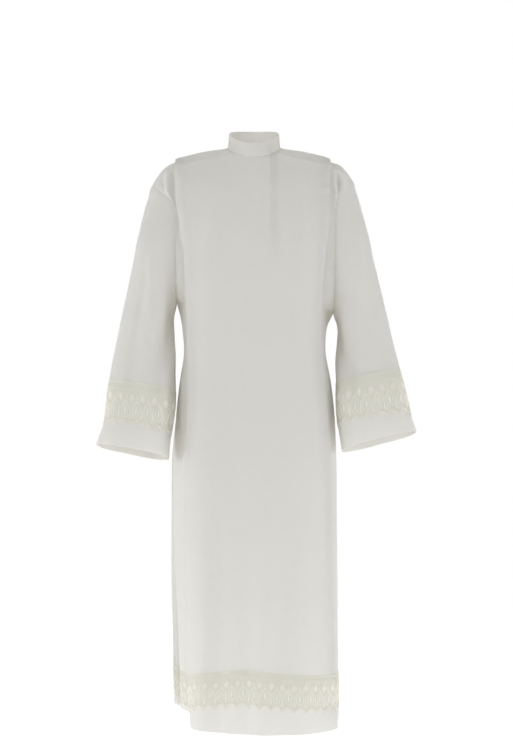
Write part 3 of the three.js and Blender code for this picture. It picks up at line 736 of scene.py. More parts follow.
# On the sleeves they are degrees round the arm, positive to the front from the shoulder tip, and
# millimetres down from the armhole.
SLEEVE_FOLDS = {
    "right": [
        [(38, 20, 0, 10), (34, 140, 5, 12), (28, 330, 5.5, 14), (24, 620, 3, 17)],
        [(66, 40, 0, 10), (70, 170, -5, 13), (74, 330, -5.5, 15), (80, 620, -4, 18)],
        [(150, 0, 0, 9), (124, 70, 6.5, 11), (100, 190, 6, 13), (92, 340, 2, 16), (90, 420, 0, 16)],
        [(170, 10, 0, 8), (146, 90, -6.5, 11), (122, 220, -5, 13), (112, 380, 0, 16)],
        [(176, 60, 0, 8), (156, 150, 4, 10), (140, 260, 3, 12), (134, 360, 0, 14)],
        [(-30, 20, 0, 10), (-36, 160, 5, 13), (-40, 420, 5.5, 16), (-36, 640, 4, 18)],
        [(-78, 40, 0, 12), (-80, 260, -6, 16), (-76, 640, -5, 20)],
        [(-150, 0, 0, 9), (-126, 90, 6, 12), (-112, 260, 5, 15), (-110, 480, 0, 18)],
    ],
    "left": [
        [(30, 20, 0, 10), (30, 160, 5, 12), (34, 360, 5.5, 14), (40, 600, 4, 17)],
        [(60, 30, 0, 10), (66, 150, -5, 13), (68, 340, -5, 15), (64, 600, -3, 18)],
        [(158, 0, 0, 9), (128, 80, 6.5, 11), (104, 200, 6, 13), (90, 360, 2, 16), (86, 440, 0, 16)],
        [(176, 20, 0, 8), (150, 110, -6.5, 11), (126, 240, -5, 13), (114, 400, 0, 16)],
        [(180, 70, 0, 8), (160, 160, 4, 10), (146, 280, 3, 12), (138, 380, 0, 14)],
        [(-34, 20, 0, 10), (-38, 180, 5, 13), (-34, 420, 5, 16), (-30, 620, 3, 18)],
        [(-74, 40, 0, 12), (-82, 280, -6, 16), (-84, 620, -6, 20)],
        [(-156, 0, 0, 9), (-130, 100, 6, 12), (-114, 280, 5, 15), (-106, 460, 0, 18)],
    ],
}
SIDE_LAST = 2  # the net's last column outside a pleat, counted from the seam
SEAM_RIDGE = {"body": 0.9, "sleeve": 2.0, "places": 0.7}
SLEEVE_HEAD = {"deep": 22, "reach": 130}  # millimetres down and degrees to each side
DEGREE = 1.5  # millimetres round a sleeve for each degree, near enough for a fold's shape
# How many lines of the net the folds take to fade out: beside a pleat, from a seam, past the last
# column outside a pleat, and below the top edge of a panel's folds and of its creases.
FADE = {"pleat": 1.5, "seam": 0.6, "past": 0.4, "top": 1.2, "crease_top": 0.3}
# On a sleeve: millimetres down from the armhole, degrees at the sides of its head, and the share of the
# head's ridge that is left under the arm.
SLEEVE_FADE = {"down": 50, "turn": 60, "least": 0.4}

# Cloth is never quite even: waves of these lengths and heights run over it, a few of each in any
# direction but more level than upright.
WAVES = [(230, 0.9), (150, 0.6), (95, 0.4), (60, 0.22)]
WAVES_EACH = 3
WAVE_WAYS = [1, 1, 0.6]
FRONT_FOLDS_FROM = 0.2  # the row of its net where the front's folds begin


def relief(u, v, folds):
    """How far the folds lift the cloth at places (u, v)."""
    total = np.zeros(u.shape)
    for fold in folds:
        nearest, lift = np.full(u.shape, np.inf), np.zeros(u.shape)
        for (u0, v0, rise0, half0), (u1, v1, rise1, half1) in zip(fold, fold[1:]):
            du, dv = u1 - u0, v1 - v0
            t = np.clip(((u - u0) * du + (v - v0) * dv) / (du * du + dv * dv), 0, 1)
            gap = np.hypot(u - u0 - t * du, v - v0 - t * dv)
            here = mix(rise0, rise1, t) * np.exp(-((gap / mix(half0, half1, t)) ** 2))
            lift = np.where(gap < nearest, here, lift)
            nearest = np.minimum(gap, nearest)
        total += lift
    return total


def unevenness(points, seed):
    random = np.random.default_rng(seed)
    total = np.zeros(points.shape[:-1])
    for length, height in WAVES:
        for _ in range(WAVES_EACH):
            way = random.normal(size=3) * WAVE_WAYS
            way *= 2 * math.pi / length / np.linalg.norm(way)
            total += height / 2 * np.sin(points @ way + random.uniform(0, 2 * math.pi))
    return total


def ridge_beside(place):
    """A low ridge beside a seam: the cloth turned in there lifts it. place is 0 at the seam."""
    return np.sin(math.pi * np.clip(place / SEAM_RIDGE["places"], 0, 1)) ** 2


def fold_panel(sheet, folds, first_row, seed):
    """Folds a panel between its pleats, and the cloth outside them, fading out towards its seams."""
    other = COLUMNS - 1 - sheet.column_at
    side = np.minimum(sheet.column_at, other)
    inside = ease((side - SEAM_COLUMNS + FADE["pleat"]) / FADE["pleat"])
    outside = ease(side / FADE["seam"]) * ease((SIDE_LAST + FADE["past"] - side) / FADE["seam"])
    below = ease((sheet.row_at - first_row) / FADE["top"])
    x, z = sheet.points[..., 0], sheet.points[..., 2]
    amount = (relief(x, z, folds) + unevenness(sheet.points, seed)) * below[:, None] * inside
    crease_below = ease(sheet.row_at / FADE["crease_top"])[:, None]
    amount += relief(x, z, SIDE_FOLDS[sheet.name]) * crease_below * outside
    ridges = ridge_beside(sheet.column_at) + ridge_beside(other)
    sheet.push(amount + SEAM_RIDGE["body"] * ridges)


def fold_sleeve(sheet, folds, seed):
    round_arm = np.array(arm_angles(), float)
    round_arm[round_arm < 0] += 360
    turn = np.interp(sheet.column_at, np.arange(len(round_arm) + 1), [*round_arm, 360])
    turn = np.broadcast_to(turn, sheet.points.shape[:2])
    amount = unevenness(sheet.points, seed)
    lines = [
        [(a * DEGREE, down, rise, half * DEGREE) for a, down, rise, half in fold] for fold in folds
    ]
    for whole in (0, 360):
        amount = amount + relief((turn - whole) * DEGREE, sheet.down, lines)
    amount = amount * ease(sheet.down.mean(1) / SLEEVE_FADE["down"])[:, None]
    from_top = np.abs(np.where(turn > 180, turn - 360, turn))
    head = ease((SLEEVE_HEAD["reach"] - from_top) / SLEEVE_FADE["turn"])
    beside = ridge_beside(sheet.down / SLEEVE_HEAD["deep"] * SEAM_RIDGE["places"])
    sheet.push(amount + SEAM_RIDGE["sleeve"] * beside * mix(SLEEVE_FADE["least"], 1, head))


# ---------- Thicknesses ----------

# The cloth turned up at an edge: its depth, how far its faces lie from the middle, over how many
# millimetres it begins, and the dip along its stitches.
HEM_TURN = {"deep": 22, "inner": 1.3, "outer": 0.75, "over": 6, "dip": 0.35, "dip_half": 5}


def thicken(sheet):
    """Sets a piece's faces: one layer of cloth, doubled where it is turned up at its lower edge."""
    from_edge = sheet.down[-1] - sheet.down
    doubled = ease((HEM_TURN["deep"] + HEM_TURN["over"] / 2 - from_edge) / HEM_TURN["over"])
    at_stitch = np.exp(-(((from_edge - HEM_TURN["deep"]) / HEM_TURN["dip_half"]) ** 2))
    sheet.low = -mix(CLOTH / 2, HEM_TURN["inner"], doubled)
    sheet.high = mix(CLOTH / 2, HEM_TURN["outer"], doubled) - HEM_TURN["dip"] * at_stitch


# ---------- Meshes ----------


class MeshData:
    """Vertices, four-sided faces and their texture places, gathered for one object."""

    def __init__(self):
        self.vertices, self.faces, self.uvs = [], [], []
        self.count = 0

    def add(self, points, faces, uvs):
        """points (n, 3) in millimetres, faces (m, 4) of their numbers, uvs (m, 4, 2) in metres."""
        self.vertices.append(points * MM)
        self.faces.append(faces + self.count)
        self.uvs.append(uvs)
        self.count += len(points)

    def build(self, name, material):
        mesh = bpy.data.meshes.new(name)
        mesh.from_pydata(np.concatenate(self.vertices), [], np.concatenate(self.faces).tolist())
        layer = mesh.uv_layers.new(name="cloth")
        layer.data.foreach_set("uv", np.concatenate(self.uvs).ravel().astype(np.float32))
        mesh.materials.append(material)
        mesh.polygons.foreach_set("use_smooth", [True] * len(mesh.polygons))
        mesh.set_sharp_from_angle(angle=SHARP * RAD)
        made = bpy.data.objects.new(name, mesh)
        bpy.context.collection.objects.link(made)
        return made


def add_shell(data, sheet):
    """The closed shell between a sheet's two faces."""
    height, width = sheet.points.shape[:2]
    r, c = np.nonzero(sheet.mask)
    d = (c + 1) % width
    outer = np.stack([r * width + c, (r + 1) * width + c, (r + 1) * width + d, r * width + d], 1)
    level = sheet.down.mean(1, keepdims=True)
    laid = np.stack(np.broadcast_arrays(sheet.across, level), -1)
    uvs = np.stack([laid[r, c], laid[r + 1, c], laid[r + 1, c + 1], laid[r, c + 1]], 1)
    # An edge that only one cell uses is an edge of the cloth, and gets a strip across its thickness.
    total = height * width
    a, b = outer, np.roll(outer, -1, 1)
    keys = (np.minimum(a, b) * total + np.maximum(a, b)).ravel()
    _, inverse, counts = np.unique(keys, return_inverse=True, return_counts=True)
    single = counts[inverse.ravel()] == 1
    a, b = a.ravel()[single], b.ravel()[single]
    uv_a, uv_b = uvs.reshape(-1, 2)[single], np.roll(uvs, -1, 1).reshape(-1, 2)[single]
    rim = np.stack([b, a, a + total, b + total], 1)
    faces = np.concatenate([outer, outer[:, ::-1] + total, rim])
    corner_uvs = np.concatenate([uvs, uvs[:, ::-1], np.stack([uv_b, uv_a, uv_a, uv_b], 1)])
    used = np.unique(faces)
    number = np.zeros(2 * total, int)
    number[used] = np.arange(len(used))
    points = [sheet.points + sheet.normals * face[..., None] for face in (sheet.high, sheet.low)]
    data.add(np.concatenate(points).reshape(-1, 3)[used], number[faces], corner_uvs * MM)


# A cord's section, from one foot over the top to the other, as shares of its width and height.
CORD_SECTION = [(-0.5, 0), (-0.3, 0.85), (0.3, 0.85), (0.5, 0)]
CORD_UV = 0.5  # millimetres of texture for each side of it


def add_cord(data, line, normals, width, height, closed=False):
    """A raised cord along a line of points, flat underneath."""
    ahead = np.roll(line, -1, 0) - np.roll(line, 1, 0)
    if not closed:
        ahead[0], ahead[-1] = line[1] - line[0], line[-1] - line[-2]
    aside = unit(np.cross(normals, ahead))
    width, height = (np.broadcast_to(size, len(line))[:, None] for size in (width, height))
    points = np.stack([line + aside * width * x + normals * height * y for x, y in CORD_SECTION], 1)
    count, sides = len(line), len(CORD_SECTION)
    # Each face's corners: places along the cord, and round it.
    i = np.arange(count if closed else count - 1)[:, None, None] + [0, 0, 1, 1]
    j = np.arange(sides)[None, :, None] + [0, 1, 1, 0]
    along = run_of(line)
    along = np.append(along, along[-1])
    faces = (i % count * sides + j % sides).reshape(-1, 4)
    uvs = np.stack(np.broadcast_arrays(along[i], j * CORD_UV), -1).reshape(-1, 4, 2)
    if not closed:
        ends = np.array([[3, 2, 1, 0], (count - 1) * sides + np.arange(4)])
        faces, uvs = np.concatenate([faces, ends]), np.concatenate([uvs, np.zeros((2, 4, 2))])
    data.add(points.reshape(-1, 3), faces, uvs * MM)


# ---------- Collar and placket ----------

COLLAR_STEP = 3  # degrees
COLLAR_ROWS = [1, 0.985, 0.955, 0.9, 0.8, 0.68, 0.56, 0.44, 0.32, 0.2, 0.1, 0.04, 0]  # shares up
COLLAR_STITCHED = [0.9, 0.1]  # those that are stitched along
COLLAR_THICK = 2.2
# Its top edge is rounded from this share up, to the least share of the squared half thickness, and the
# half thickness at its foot is this share.
COLLAR_ROUND = {"from": 0.955, "least": 0.04, "foot": 0.6}
COLLAR_FOOT = 0.5  # above the neck seam
COLLAR_UNEVEN = {"share": 0.25, "seed": 5}
# Degrees round the neck and millimetres up the collar: the pull where its two ends lap.
COLLAR_FOLDS = [
    [(10, 31, 0, 2.5), (17, 24, -1.1, 3), (24, 14, -0.8, 3.5), (30, 6, 0, 3)],
    [(20, 31, 0, 2.5), (26, 22, 0.8, 3), (32, 12, 0, 3)],
    [(-64, 28, 0, 4), (-58, 16, -0.6, 5), (-52, 5, 0, 4)],
    [(-182, 30, 0, 4), (-186, 16, -0.5, 5), (-190, 4, 0, 4)],
]
PLACKET_LAYER = (0.1, 0.9)  # its faces, above the front's outer face
PLACKET_STITCHES = 0.8  # fine columns in from each side


def collar_sheet():
    ends = COLLAR_ENDS
    angle = np.arange(ends["under"] - 360, ends["outer"], COLLAR_STEP)
    lap = np.clip(1 - (ends["outer"] - angle) / ends["lap_over"], 0, 1)
    tuck = np.clip((ends["tuck_from"] - 360 - angle) / (ends["tuck_from"] - ends["tuck_to"]), 0, 1)
    seam = neck_point(angle)
    outwards = unit(seam * [1, 1, 0])
    rows = []
    for share in COLLAR_ROWS:
        row = seam.copy()
        row[:, :2] *= mix(1, COLLAR["top_shrink"], share)
        row += outwards * (COLLAR["overlap"] * (lap - tuck))[:, None]
        row[:, 2] += mix(COLLAR_FOOT, COLLAR["foot_z"] + COLLAR["height"], share)
        rows.append(row)
    sheet = Sheet("collar", np.array(rows), np.arange(len(rows)), angle)
    sheet.measure()
    share, degree = np.array(COLLAR_ROWS), NECK["half_width"] * RAD
    round_neck, up = np.broadcast_arrays(angle * degree, share[:, None] * COLLAR["height"])
    folds = [[(a * degree, *rest) for a, *rest in fold] for fold in COLLAR_FOLDS]
    waves = COLLAR_UNEVEN["share"] * unevenness(sheet.points, COLLAR_UNEVEN["seed"])
    sheet.push(relief(round_neck, up, folds) + waves)
    past = np.clip((share - COLLAR_ROUND["from"]) / (1 - COLLAR_ROUND["from"]), 0, 1)
    half = COLLAR_THICK / 2 * np.sqrt(np.maximum(1 - past**2, COLLAR_ROUND["least"]))
    half[-1] *= COLLAR_ROUND["foot"]
    sheet.high = np.repeat(half[:, None], len(angle), 1)
    sheet.low = -sheet.high
    return sheet


def placket_sheet(front):
    """A narrow band on the front's outer face, between two of its net's columns."""
    first = CORNERS[1] - NECK_FRONT.index(PLACKET["inner"])
    r = slice(0, front.row_of(PLACKET["rows"] - 1) + 1)
    c = slice(front.column_of(first), front.column_of(first + 1) + 1)
    sheet = Sheet("placket", front.points[r, c], front.row_at[r], front.column_at[c])
    sheet.measure()
    sheet.low, sheet.high = (sheet.high + lift for lift in PLACKET_LAYER)
    return sheet


# ---------- Lace ----------

LACE_PITCH = 28.3  # length of one motif
LACE_FACES = (0.12, 0.5)  # above the cloth's outer face
LACE_COLUMN = 2.4  # of the ground's grid
LACE_SHARES = [0, 0.02, 0.1, 0.2, 0.32, 0.44, 0.56, 0.68, 0.78, 0.86, 0.93, 0.975, 1]
CORD_STEP = 2.6
CORD_SINK = 0.05  # of a cord's foot into the ground
SCALLOP = {"deep": 0.15, "power": 0.85}
LACE_ROWS = {"hem": (2, 1), "cuff": (3, 1)}  # of the net, from its last: a band's upper and lower edge
LACE_SEED = 11

# A motif's cords: shares of half its length from its middle, and shares of the band's depth down.
# Each has a width and a height in millimetres, and is drawn on both halves.
# They are of the darker cord thread, whose tan is painted shade standing for the shadowed open slits
# beside the raised cords.
HALF_CORDS = {
    "almond": (
        [(0, 0.2), (0.34, 0.255), (0.62, 0.325), (0.7, 0.385), (0.5, 0.455), (0.2, 0.525), (0.1, 0.6),
         (0.12, 0.7), (0.3, 0.79), (0.62, 0.845), (1, 0.865)],
        1.9, 1.3,
    ),
    "inner almond": (
        [(0, 0.245), (0.26, 0.29), (0.48, 0.345), (0.52, 0.385), (0.34, 0.44), (0, 0.5)], 1.1, 0.9,
    ),
    "link": ([(0.7, 0.37), (0.84, 0.35), (1, 0.345)], 1.3, 0.9),
    "lower link": ([(0.7, 0.4), (0.86, 0.405), (1, 0.4)], 1.0, 0.8),
    "swag": ([(0, 0.9), (0.4, 0.89), (0.75, 0.855), (1, 0.82)], 2.2, 1.5),
    "inner loop": (
        [(1, 0.48), (0.82, 0.515), (0.62, 0.585), (0.58, 0.665), (0.7, 0.725), (1, 0.757)], 1.2, 0.9,
    ),
    "small arch": ([(1, 0.3), (0.86, 0.265), (0.66, 0.225), (0.5, 0.175)], 1.1, 0.7),
    "smaller arch": ([(1, 0.25), (0.88, 0.225), (0.76, 0.175)], 0.9, 0.6),
}
# Those of a lighter thread, whose whiteness is partly its own and partly painted highlight: the loops
# between two motifs, and the veins of the scallops.
LIGHT_CORDS = {
    "loop": (
        [(1, 0.425), (0.74, 0.475), (0.46, 0.57), (0.4, 0.67), (0.56, 0.75), (0.8, 0.79), (1, 0.8)],
        1.2, 1.0,
    ),
    "scallop vein": ([(0, 0.975), (0.22, 0.948), (0.5, 0.915), (0.8, 0.88)], 1.1, 0.8),
}
# Padded leaves of that thread: a line, the widths along it, and a height.
LEAVES = {
    "middle leaf": ([(0, 0.275), (0, 0.32), (0, 0.385), (0, 0.46)], [0.8, 2.1, 2.4, 0.8], 1.7),
    "side leaf": (
        [(0.08, 0.295), (0.24, 0.33), (0.36, 0.375), (0.38, 0.425)], [0.6, 1.7, 1.9, 0.7], 1.5,
    ),
    "padded oval": (
        [(1, 0.54), (1, 0.585), (1, 0.635), (1, 0.685), (1, 0.73)], [0.7, 2.2, 2.9, 2.4, 0.8], 1.5,
    ),
    "drop": ([(0, 0.915), (0, 0.935), (0, 0.96)], [0.8, 2.4, 0.8], 1.4),
    "knot": ([(1, 0.352), (1, 0.373), (1, 0.394)], [1.4, 3.2, 1.4], 1.7),
    "stem": ([(0, 0.53), (0, 0.62), (0, 0.76), (0, 0.85)], [0.8, 1.5, 1.7, 0.9], 1.2),
}
# Cords along the whole band: share down (above the scalloped edge for the edge's), width, height.
BORDER_CORDS = [(0.012, 1.4, 1.0), (0.042, 0.8, 0.6), (0.15, 1.0, 0.8)]
EDGE_CORDS = [(0.012, 1.6, 1.1), (0.044, 0.9, 0.8)]
# Two zigzags cross. Each turns down so often in a motif.
ZIGZAG = {"top": 0.058, "bottom": 0.138, "each": 3, "width": 0.8, "height": 0.6}
# The places of a cord's points are a little uneven, so that no two motifs are quite alike.
WOBBLE = (0.012, [1.5, 0.35])
THIN_END = 0.2  # how much less a leaf's height falls at its ends than its width
EDGE_ROOM = 0.5  # no cord runs closer to the end of an open band


class Band:
    """A band of lace on a piece of cloth, between two rows of its net."""

    def __init__(self, name, sheet, rows):
        self.name, self.sheet, self.closed = name, sheet, sheet.closed
        self.top, bottom = (sheet.row_of(row) for row in rows)
        down = sheet.down[self.top : bottom + 1].mean(1)
        self.down = (down - down[0]) / (down[-1] - down[0])
        across = sheet.across[(self.top + bottom) // 2]
        self.along = across - across[0]
        self.length = self.along[-1]
        self.count = round(self.length / LACE_PITCH)
        self.pitch = self.length / self.count

    def place(self, along, share, lift=0.0):
        column = np.interp(along, self.along, np.arange(len(self.along)))
        row = self.top + np.interp(share, self.down, np.arange(len(self.down)))
        return self.sheet.sample(row, column, lift)

    def spaced(self, count):
        """Places along the band at so many equal steps. A closed band's last place is its first."""
        return np.linspace(0, self.length, count + 1)[: count + (0 if self.closed else 1)]

    def steps_of(self, step):
        """An even number of steps for each motif, for the whole band."""
        return math.ceil(self.pitch / step / 2) * 2 * self.count

    def edge(self, along):
        """Share down at which the scalloped edge lies."""
        from_middle = np.abs(np.mod(along / self.pitch, 1) - 0.5) * 2
        return 1 - SCALLOP["deep"] * from_middle ** SCALLOP["power"]

    def ground(self):
        along = self.spaced(self.steps_of(LACE_COLUMN))
        share = np.array(LACE_SHARES)[:, None] * self.edge(along)[None, :]
        points, normals = self.place(np.broadcast_to(along, share.shape), share)
        made = Sheet(self.name, points, np.arange(len(points)), along, closed=self.closed)
        made.measure()
        made.normals = normals
        made.low, made.high = (np.full(share.shape, lift) for lift in LACE_FACES)
        return made

    def cord(self, data, along, share, width, height, closed):
        line, normals = self.place(along, share, LACE_FACES[1] - CORD_SINK)
        add_cord(data, line, normals, width, height, closed)

    def cords(self, data, leaves, seed):
        random = np.random.default_rng(seed)
        whole = self.spaced(round(self.length / CORD_STEP))
        for share, *size in BORDER_CORDS:
            self.cord(data, whole, np.full(len(whole), share), *size, self.closed)
        for first in (0, 1):
            zigzag = self.spaced(2 * ZIGZAG["each"] * self.count)
            down = (np.arange(len(zigzag)) + first) % 2 == 0
            share = np.where(down, ZIGZAG["bottom"], ZIGZAG["top"])
            self.cord(data, zigzag, share, ZIGZAG["width"], ZIGZAG["height"], self.closed)
        rim = self.spaced(self.steps_of(CORD_STEP))
        for inset, *size in EDGE_CORDS:
            self.cord(data, rim, self.edge(rim) - inset, *size, self.closed)
        for i in range(self.count):
            middle = (i + 0.5) * self.pitch
            for mesh_data, drawings in ((data, HALF_CORDS), (leaves, LIGHT_CORDS), (leaves, LEAVES)):
                for drawing in drawings.values():
                    self.draw(mesh_data, middle, *drawing, random)

    def draw(self, data, middle, points, width, height, random):
        """One of a motif's cords or leaves, and its mirror image unless it lies on the middle."""
        points = np.array(points)
        scale, ways = WOBBLE
        wobble = random.normal(scale=scale, size=points.shape) * ways
        wobble[[0, -1]] = 0
        lengths = np.linalg.norm(np.diff(points, axis=0) * [self.pitch / 2, LACE_BAND], axis=1)
        counts = [max(1, math.ceil(n / CORD_STEP)) for n in lengths]
        line = smooth_through((points + wobble)[:, None], counts)[:, 0]
        at_points = np.cumsum([0, *counts])
        widths = np.interp(np.arange(len(line)), at_points, np.broadcast_to(width, len(points)))
        heights = height * np.minimum(widths / widths.max() + THIN_END, 1)
        lone = np.abs(points[:, 0]).max() == 0 or points[:, 0].min() == 1
        for way in (1,) if lone else (1, -1):
            along = middle + way * line[:, 0] * self.pitch / 2
            if self.closed or along.max() <= self.length - EDGE_ROOM:
                self.cord(data, along, line[:, 1], widths, heights, False)


# ---------- Stitching ----------

STITCH = {"long": 3.0, "gap": 1.1, "width": 0.5, "height": 0.3, "sink": 0.08, "start": 1}
STITCH_FINE = 8  # places for each fine line, to measure along
STITCH_BELOW = 2  # from the upper edge of the cloth turned up at a hem


def add_stitches(data, sheet, rows, columns):
    """A line of stitches along a run of fractional fine rows and columns."""
    along = run_of(sheet.sample(rows, columns)[0])
    for a in np.arange(STITCH["start"], along[-1] - STITCH["long"], STITCH["long"] + STITCH["gap"]):
        r, c = (np.interp([a, a + STITCH["long"]], along, line) for line in (rows, columns))
        points, normals = sheet.sample(r, c, -STITCH["sink"])
        add_cord(data, points, normals, STITCH["width"], STITCH["height"])


def fine_places(count):
    return np.linspace(0, count - 1, STITCH_FINE * count)


def line_across(rows):
    """Rows and columns of a line across a sheet at a fractional fine row for each fine column."""
    columns = fine_places(len(rows))
    return np.interp(columns, np.arange(len(rows)), rows), columns


def line_down(sheet, column):
    rows = fine_places(len(sheet.points))
    return rows, np.full(len(rows), column)


def line_above_edge(sheet):
    """A line across a sheet at the same height above its lower edge."""
    height = HEM_TURN["deep"] - STITCH_BELOW
    return line_across(np.array([
        np.interp(down[-1] - height, down, np.arange(len(down))) for down in sheet.down.T
    ]))


# ---------- Materials ----------

CLOTH_COLOR = (0.895, 0.9, 0.9)
LACE_COLOR = (0.89, 0.895, 0.815)
# The cords' tan is painted shade: darker, for the shadowed slits beside them.
SHADED_CORD_COLOR = (0.83, 0.805, 0.71)
# The leaves' thread is whiter: partly its own colour, partly painted highlight on the padded leaves and
# loops.
HIGHLIT_LEAF_COLOR = (0.96, 0.955, 0.91)
THREAD_COLOR = (0.94, 0.94, 0.93)
GLOW_COLOR = (0.975, 0.955, 0.895)  # of the light that comes through
THREAD_PITCH = 0.0007  # of the weave, in metres
SLUB = 0.4  # how uneven the weave's threads are
TWIST_PITCH = 0.0011  # of a thick thread's turns
WAVE_RADIANS = 20  # a wave texture goes through these in each unit of length, at a scale of 1
NET_SCALE = 520.0  # cells of about two millimetres
NET = {"random": 0.55, "thread": 0.13}  # how uneven its cells are, and its threads' share of them
BUMP = {"weave": 0.0002, "net": 0.0005, "twist": 0.0003}  # depths in metres
MOTTLE = {"Scale": 55.0, "Detail": 3.0, "Roughness": 0.6}
GLOSS = {"IOR": 1.35, "Sheen Weight": 0.08, "Sheen Roughness": 0.5}
BUMP_STRENGTH = 0.35


class Nodes:
    """A material's nodes, made and joined by short calls."""

    def __init__(self, name):
        self.material = bpy.data.materials.new(name)
        self.material.use_nodes = True
        self.tree = self.material.node_tree
        self.tree.nodes.clear()

    def add(self, kind, inputs, **settings):
        """A node. inputs gives its sockets a value or the output that feeds them."""
        node = self.tree.nodes.new("ShaderNode" + kind)
        for key, value in settings.items():
            setattr(node, key, value)
        for key, value in inputs.items():
            if isinstance(value, bpy.types.NodeSocket):
                self.tree.links.new(value, node.inputs[key])
            else:
                node.inputs[key].default_value = value
        return node


def cloth_material(name, color, through, roughness, mottle, bump, hollow_shade_level=1.0):
    """Matt cloth that lets some light through. bump(nodes, place) gives the height for its bump, and
    the last argument sets how bright its hollows are against its threads, a shade painted into their
    colour."""
    n = Nodes(name)
    uv = n.add("UVMap", {}, uv_map="cloth").outputs["UV"]
    noise = n.add("TexNoise", {"Vector": uv, **MOTTLE})
    dark, light = ((*(min(1, c * by) for c in color), 1) for by in (1 - mottle, 1 + mottle))
    shade = n.add("MixRGB", {0: noise.outputs["Fac"], 1: dark, 2: light})
    height, distance = bump(n, uv)
    bumped = n.add("Bump", {"Strength": BUMP_STRENGTH, "Distance": distance, "Height": height})
    # Painted shade: the colour is darkened in the bump's hollows, down to the last argument's
    # brightness.
    depth = n.add("MapRange", {"Value": height, "To Min": hollow_shade_level})
    threads = n.add("VectorMath", {0: shade.outputs[0], "Scale": depth.outputs[0]}, operation="SCALE")
    normal = {"Normal": bumped.outputs[0]}
    surface = n.add(
        "BsdfPrincipled", {"Roughness": roughness, "Base Color": threads.outputs[0], **normal, **GLOSS}
    )
    out = n.add("OutputMaterial", {})
    if through:
        passed = n.add("BsdfTranslucent", {"Color": (*GLOW_COLOR, 1), **normal})
        surface = n.add("MixShader", {0: through, 1: surface.outputs[0], 2: passed.outputs[0]})
    n.tree.links.new(surface.outputs[0], out.inputs["Surface"])
    return n.material


def wave_scale(pitch):
    """The scale at which a wave texture's bands come once in each pitch."""
    return 2 * math.pi / (WAVE_RADIANS * pitch)


def weave(n, uv):
    """Crossing threads, with a slub here and there."""
    wave = {"Vector": uv, "Scale": wave_scale(THREAD_PITCH), "Distortion": SLUB}
    warp, weft = (n.add("TexWave", wave, bands_direction=way).outputs["Fac"] for way in ("X", "Y"))
    return n.add("Math", {0: warp, 1: weft}, operation="MAXIMUM").outputs[0], BUMP["weave"]


def net_ground(n, uv):
    """The lace's fine net."""
    cells = {"Vector": uv, "Scale": NET_SCALE, "Randomness": NET["random"]}
    edge = n.add("TexVoronoi", cells, feature="DISTANCE_TO_EDGE").outputs["Distance"]
    return n.add("Math", {0: edge, 1: NET["thread"]}, operation="LESS_THAN").outputs[0], BUMP["net"]


def twist(n, uv):
    """The turns of a thick thread. Its length is the first texture axis."""
    wave = {"Vector": uv, "Scale": wave_scale(TWIST_PITCH)}
    return n.add("TexWave", wave, bands_direction="DIAGONAL").outputs["Fac"], BUMP["twist"]


# Colour, share of light let through, roughness, how mottled, bump, and the brightness of hollows, where
# shade is painted into the colour.
MATERIALS = {
    "cloth": (CLOTH_COLOR, 0.46, 0.86, 0.03, weave, 0.97),
    "lace net": (LACE_COLOR, 0.25, 0.9, 0.05, net_ground, 0.93),
    "lace cord": (SHADED_CORD_COLOR, 0, 0.75, 0.03, twist),
    "lace leaf": (HIGHLIT_LEAF_COLOR, 0, 0.6, 0.03, twist),
    "thread": (THREAD_COLOR, 0, 0.7, 0.02, twist),
}


# ---------- Stage and lights ----------

FLOOR_Z = -1.62
FLOOR_RADIUS = 4
FLOOR_GLOW = 0.74
FLOOR_COLOR = (0.5, 0.5, 0.5)
WORLD_LIGHT = 0.3
FLOOR_SIDES = 96
FLOOR_ROUGHNESS = 0.9
# Area lights all round: place, what they face, width and height in metres, and power.
LIGHTS = {
    "front": ((0, -4.4, -0.5), (0, 0, -0.7), (5.0, 2.6), 32),
    "front left": ((-2.9, -2.9, 0.8), (0, 0, -0.7), (1.3, 1.8), 29),
    "front right": ((3.2, -2.2, -0.4), (0, 0, -0.8), (1.4, 2.4), 22),
    "back": ((0, 4.0, -0.5), (0, 0, -0.7), (5.0, 2.6), 62),
    "back right": ((2.8, 2.9, 0.8), (0, 0, -0.7), (1.4, 1.8), 18),
    "side left": ((-3.7, 0.3, -0.9), (0, 0, -0.8), (1.0, 2.0), 44),
    "side right": ((3.7, 0.3, -0.9), (0, 0, -0.8), (1.0, 2.0), 26),
    "top": ((0, -0.2, 2.5), (0, 0, -0.8), (2.4, 2.2), 23),
}


def add_world():
    world = bpy.data.worlds.new("world")
    bpy.context.scene.world = world
    world.use_nodes = True
    nodes, links = world.node_tree.nodes, world.node_tree.links
    seen = nodes.new("ShaderNodeLightPath").outputs["Is Camera Ray"]
    strength = nodes.new("ShaderNodeMapRange")
    links.new(seen, strength.inputs["Value"])
    strength.inputs["To Min"].default_value = WORLD_LIGHT
    strength.inputs["To Max"].default_value = 1.0
    links.new(strength.outputs[0], nodes["Background"].inputs["Strength"])
    nodes["Background"].inputs["Color"].default_value = (1, 1, 1, 1)


def add_light(name, place, toward, size, power):
    data = bpy.data.lights.new(name, "AREA")
    data.shape, data.size, data.size_y = "RECTANGLE", *size
    data.energy = power
    light = bpy.data.objects.new(name, data)
    light.location = place
    light.rotation_euler = (Vector(toward) - Vector(place)).to_track_quat("-Z", "Y").to_euler()
    light.visible_camera = False
    bpy.context.collection.objects.link(light)


def add_floor():
    bpy.ops.mesh.primitive_circle_add(
        vertices=FLOOR_SIDES, radius=FLOOR_RADIUS, fill_type="NGON", location=(0, 0, FLOOR_Z)
    )
    floor = bpy.context.object
    floor.name = "floor"
    n = Nodes("floor")
    surface = n.add("BsdfPrincipled", {
        "Roughness": FLOOR_ROUGHNESS, "Base Color": (*FLOOR_COLOR, 1),
        "Emission Color": (1, 1, 1, 1), "Emission Strength": FLOOR_GLOW,
    })
    n.add("OutputMaterial", {"Surface": surface.outputs[0]})
    floor.data.materials.append(n.material)


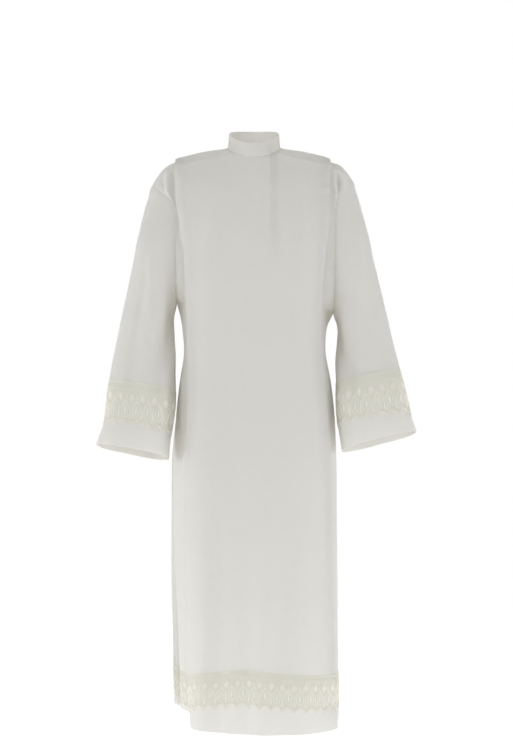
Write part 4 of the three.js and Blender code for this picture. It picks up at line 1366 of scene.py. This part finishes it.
def add_stage():
    bpy.context.scene.view_settings.view_transform = "Standard"
    add_world()
    add_floor()
    for name, values in LIGHTS.items():
        add_light(name, *values)


# ---------- Build ----------


def add_piece(sheet, material):
    data = MeshData()
    add_shell(data, sheet)
    made = data.build(sheet.name + "_cloth", material)
    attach(made, "root")
    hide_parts(sheet.name)


def add_trim(name, data, material):
    made = data.build(name, material)
    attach(made, "root")
    return made


def add_sewn(sheet, materials, lines, where=""):
    """A piece of cloth with lines of stitching."""
    stitches = MeshData()
    for line in lines:
        add_stitches(stitches, sheet, *line)
    trim = add_trim(f"{sheet.name}{where}_stitching", stitches, materials["thread"])
    add_piece(sheet, materials["cloth"])


def build():
    materials = {name: cloth_material(name, *values) for name, values in MATERIALS.items()}
    front, back, left, right = make_sheets()
    fold_panel(front, FRONT_FOLDS, FRONT_FOLDS_FROM, 1)
    fold_panel(back, BACK_FOLDS, len(NECK_SIDE) - 1, 2)
    fold_sleeve(left, SLEEVE_FOLDS["left"], 3)
    fold_sleeve(right, SLEEVE_FOLDS["right"], 4)
    for sheet in (front, back, left, right):
        thicken(sheet)
    collar, body = ["collar_cloth"], ["front_cloth", "back_cloth"]
    for sheet, rests_on, where in (
        (front, collar, "_hem"), (back, collar, "_hem"), (left, body, "_cuff"), (right, body, "_cuff")
    ):
        add_sewn(sheet, materials, [line_above_edge(sheet)], where)
    sheet = collar_sheet()
    places = [float(COLLAR_ROWS.index(share)) for share in COLLAR_STITCHED]
    lines = [line_across(np.full(sheet.points.shape[1], place)) for place in places]
    add_sewn(sheet, materials, lines)
    sheet = placket_sheet(front)
    columns = (PLACKET_STITCHES, sheet.points.shape[1] - 1 - PLACKET_STITCHES)
    lines = [line_down(sheet, column) for column in columns]
    add_sewn(sheet, materials, lines)
    hung_on = [("hem", front), ("hem", back), ("cuff", left), ("cuff", right)]
    for seed, (place, sheet) in enumerate(hung_on, LACE_SEED):
        name = f"{place}_lace_{sheet.name.split('_')[-1]}"
        band = Band(name, sheet, [sheet.row_at[-1] - row for row in LACE_ROWS[place]])
        cords, leaves = MeshData(), MeshData()
        band.cords(cords, leaves, seed)
        trims = [
            add_trim(name + "_cords", cords, materials["lace cord"]),
            add_trim(name + "_leaves", leaves, materials["lace leaf"]),
        ]
        add_piece(band.ground(), materials["lace net"])


add_camera()
build()
add_stage()
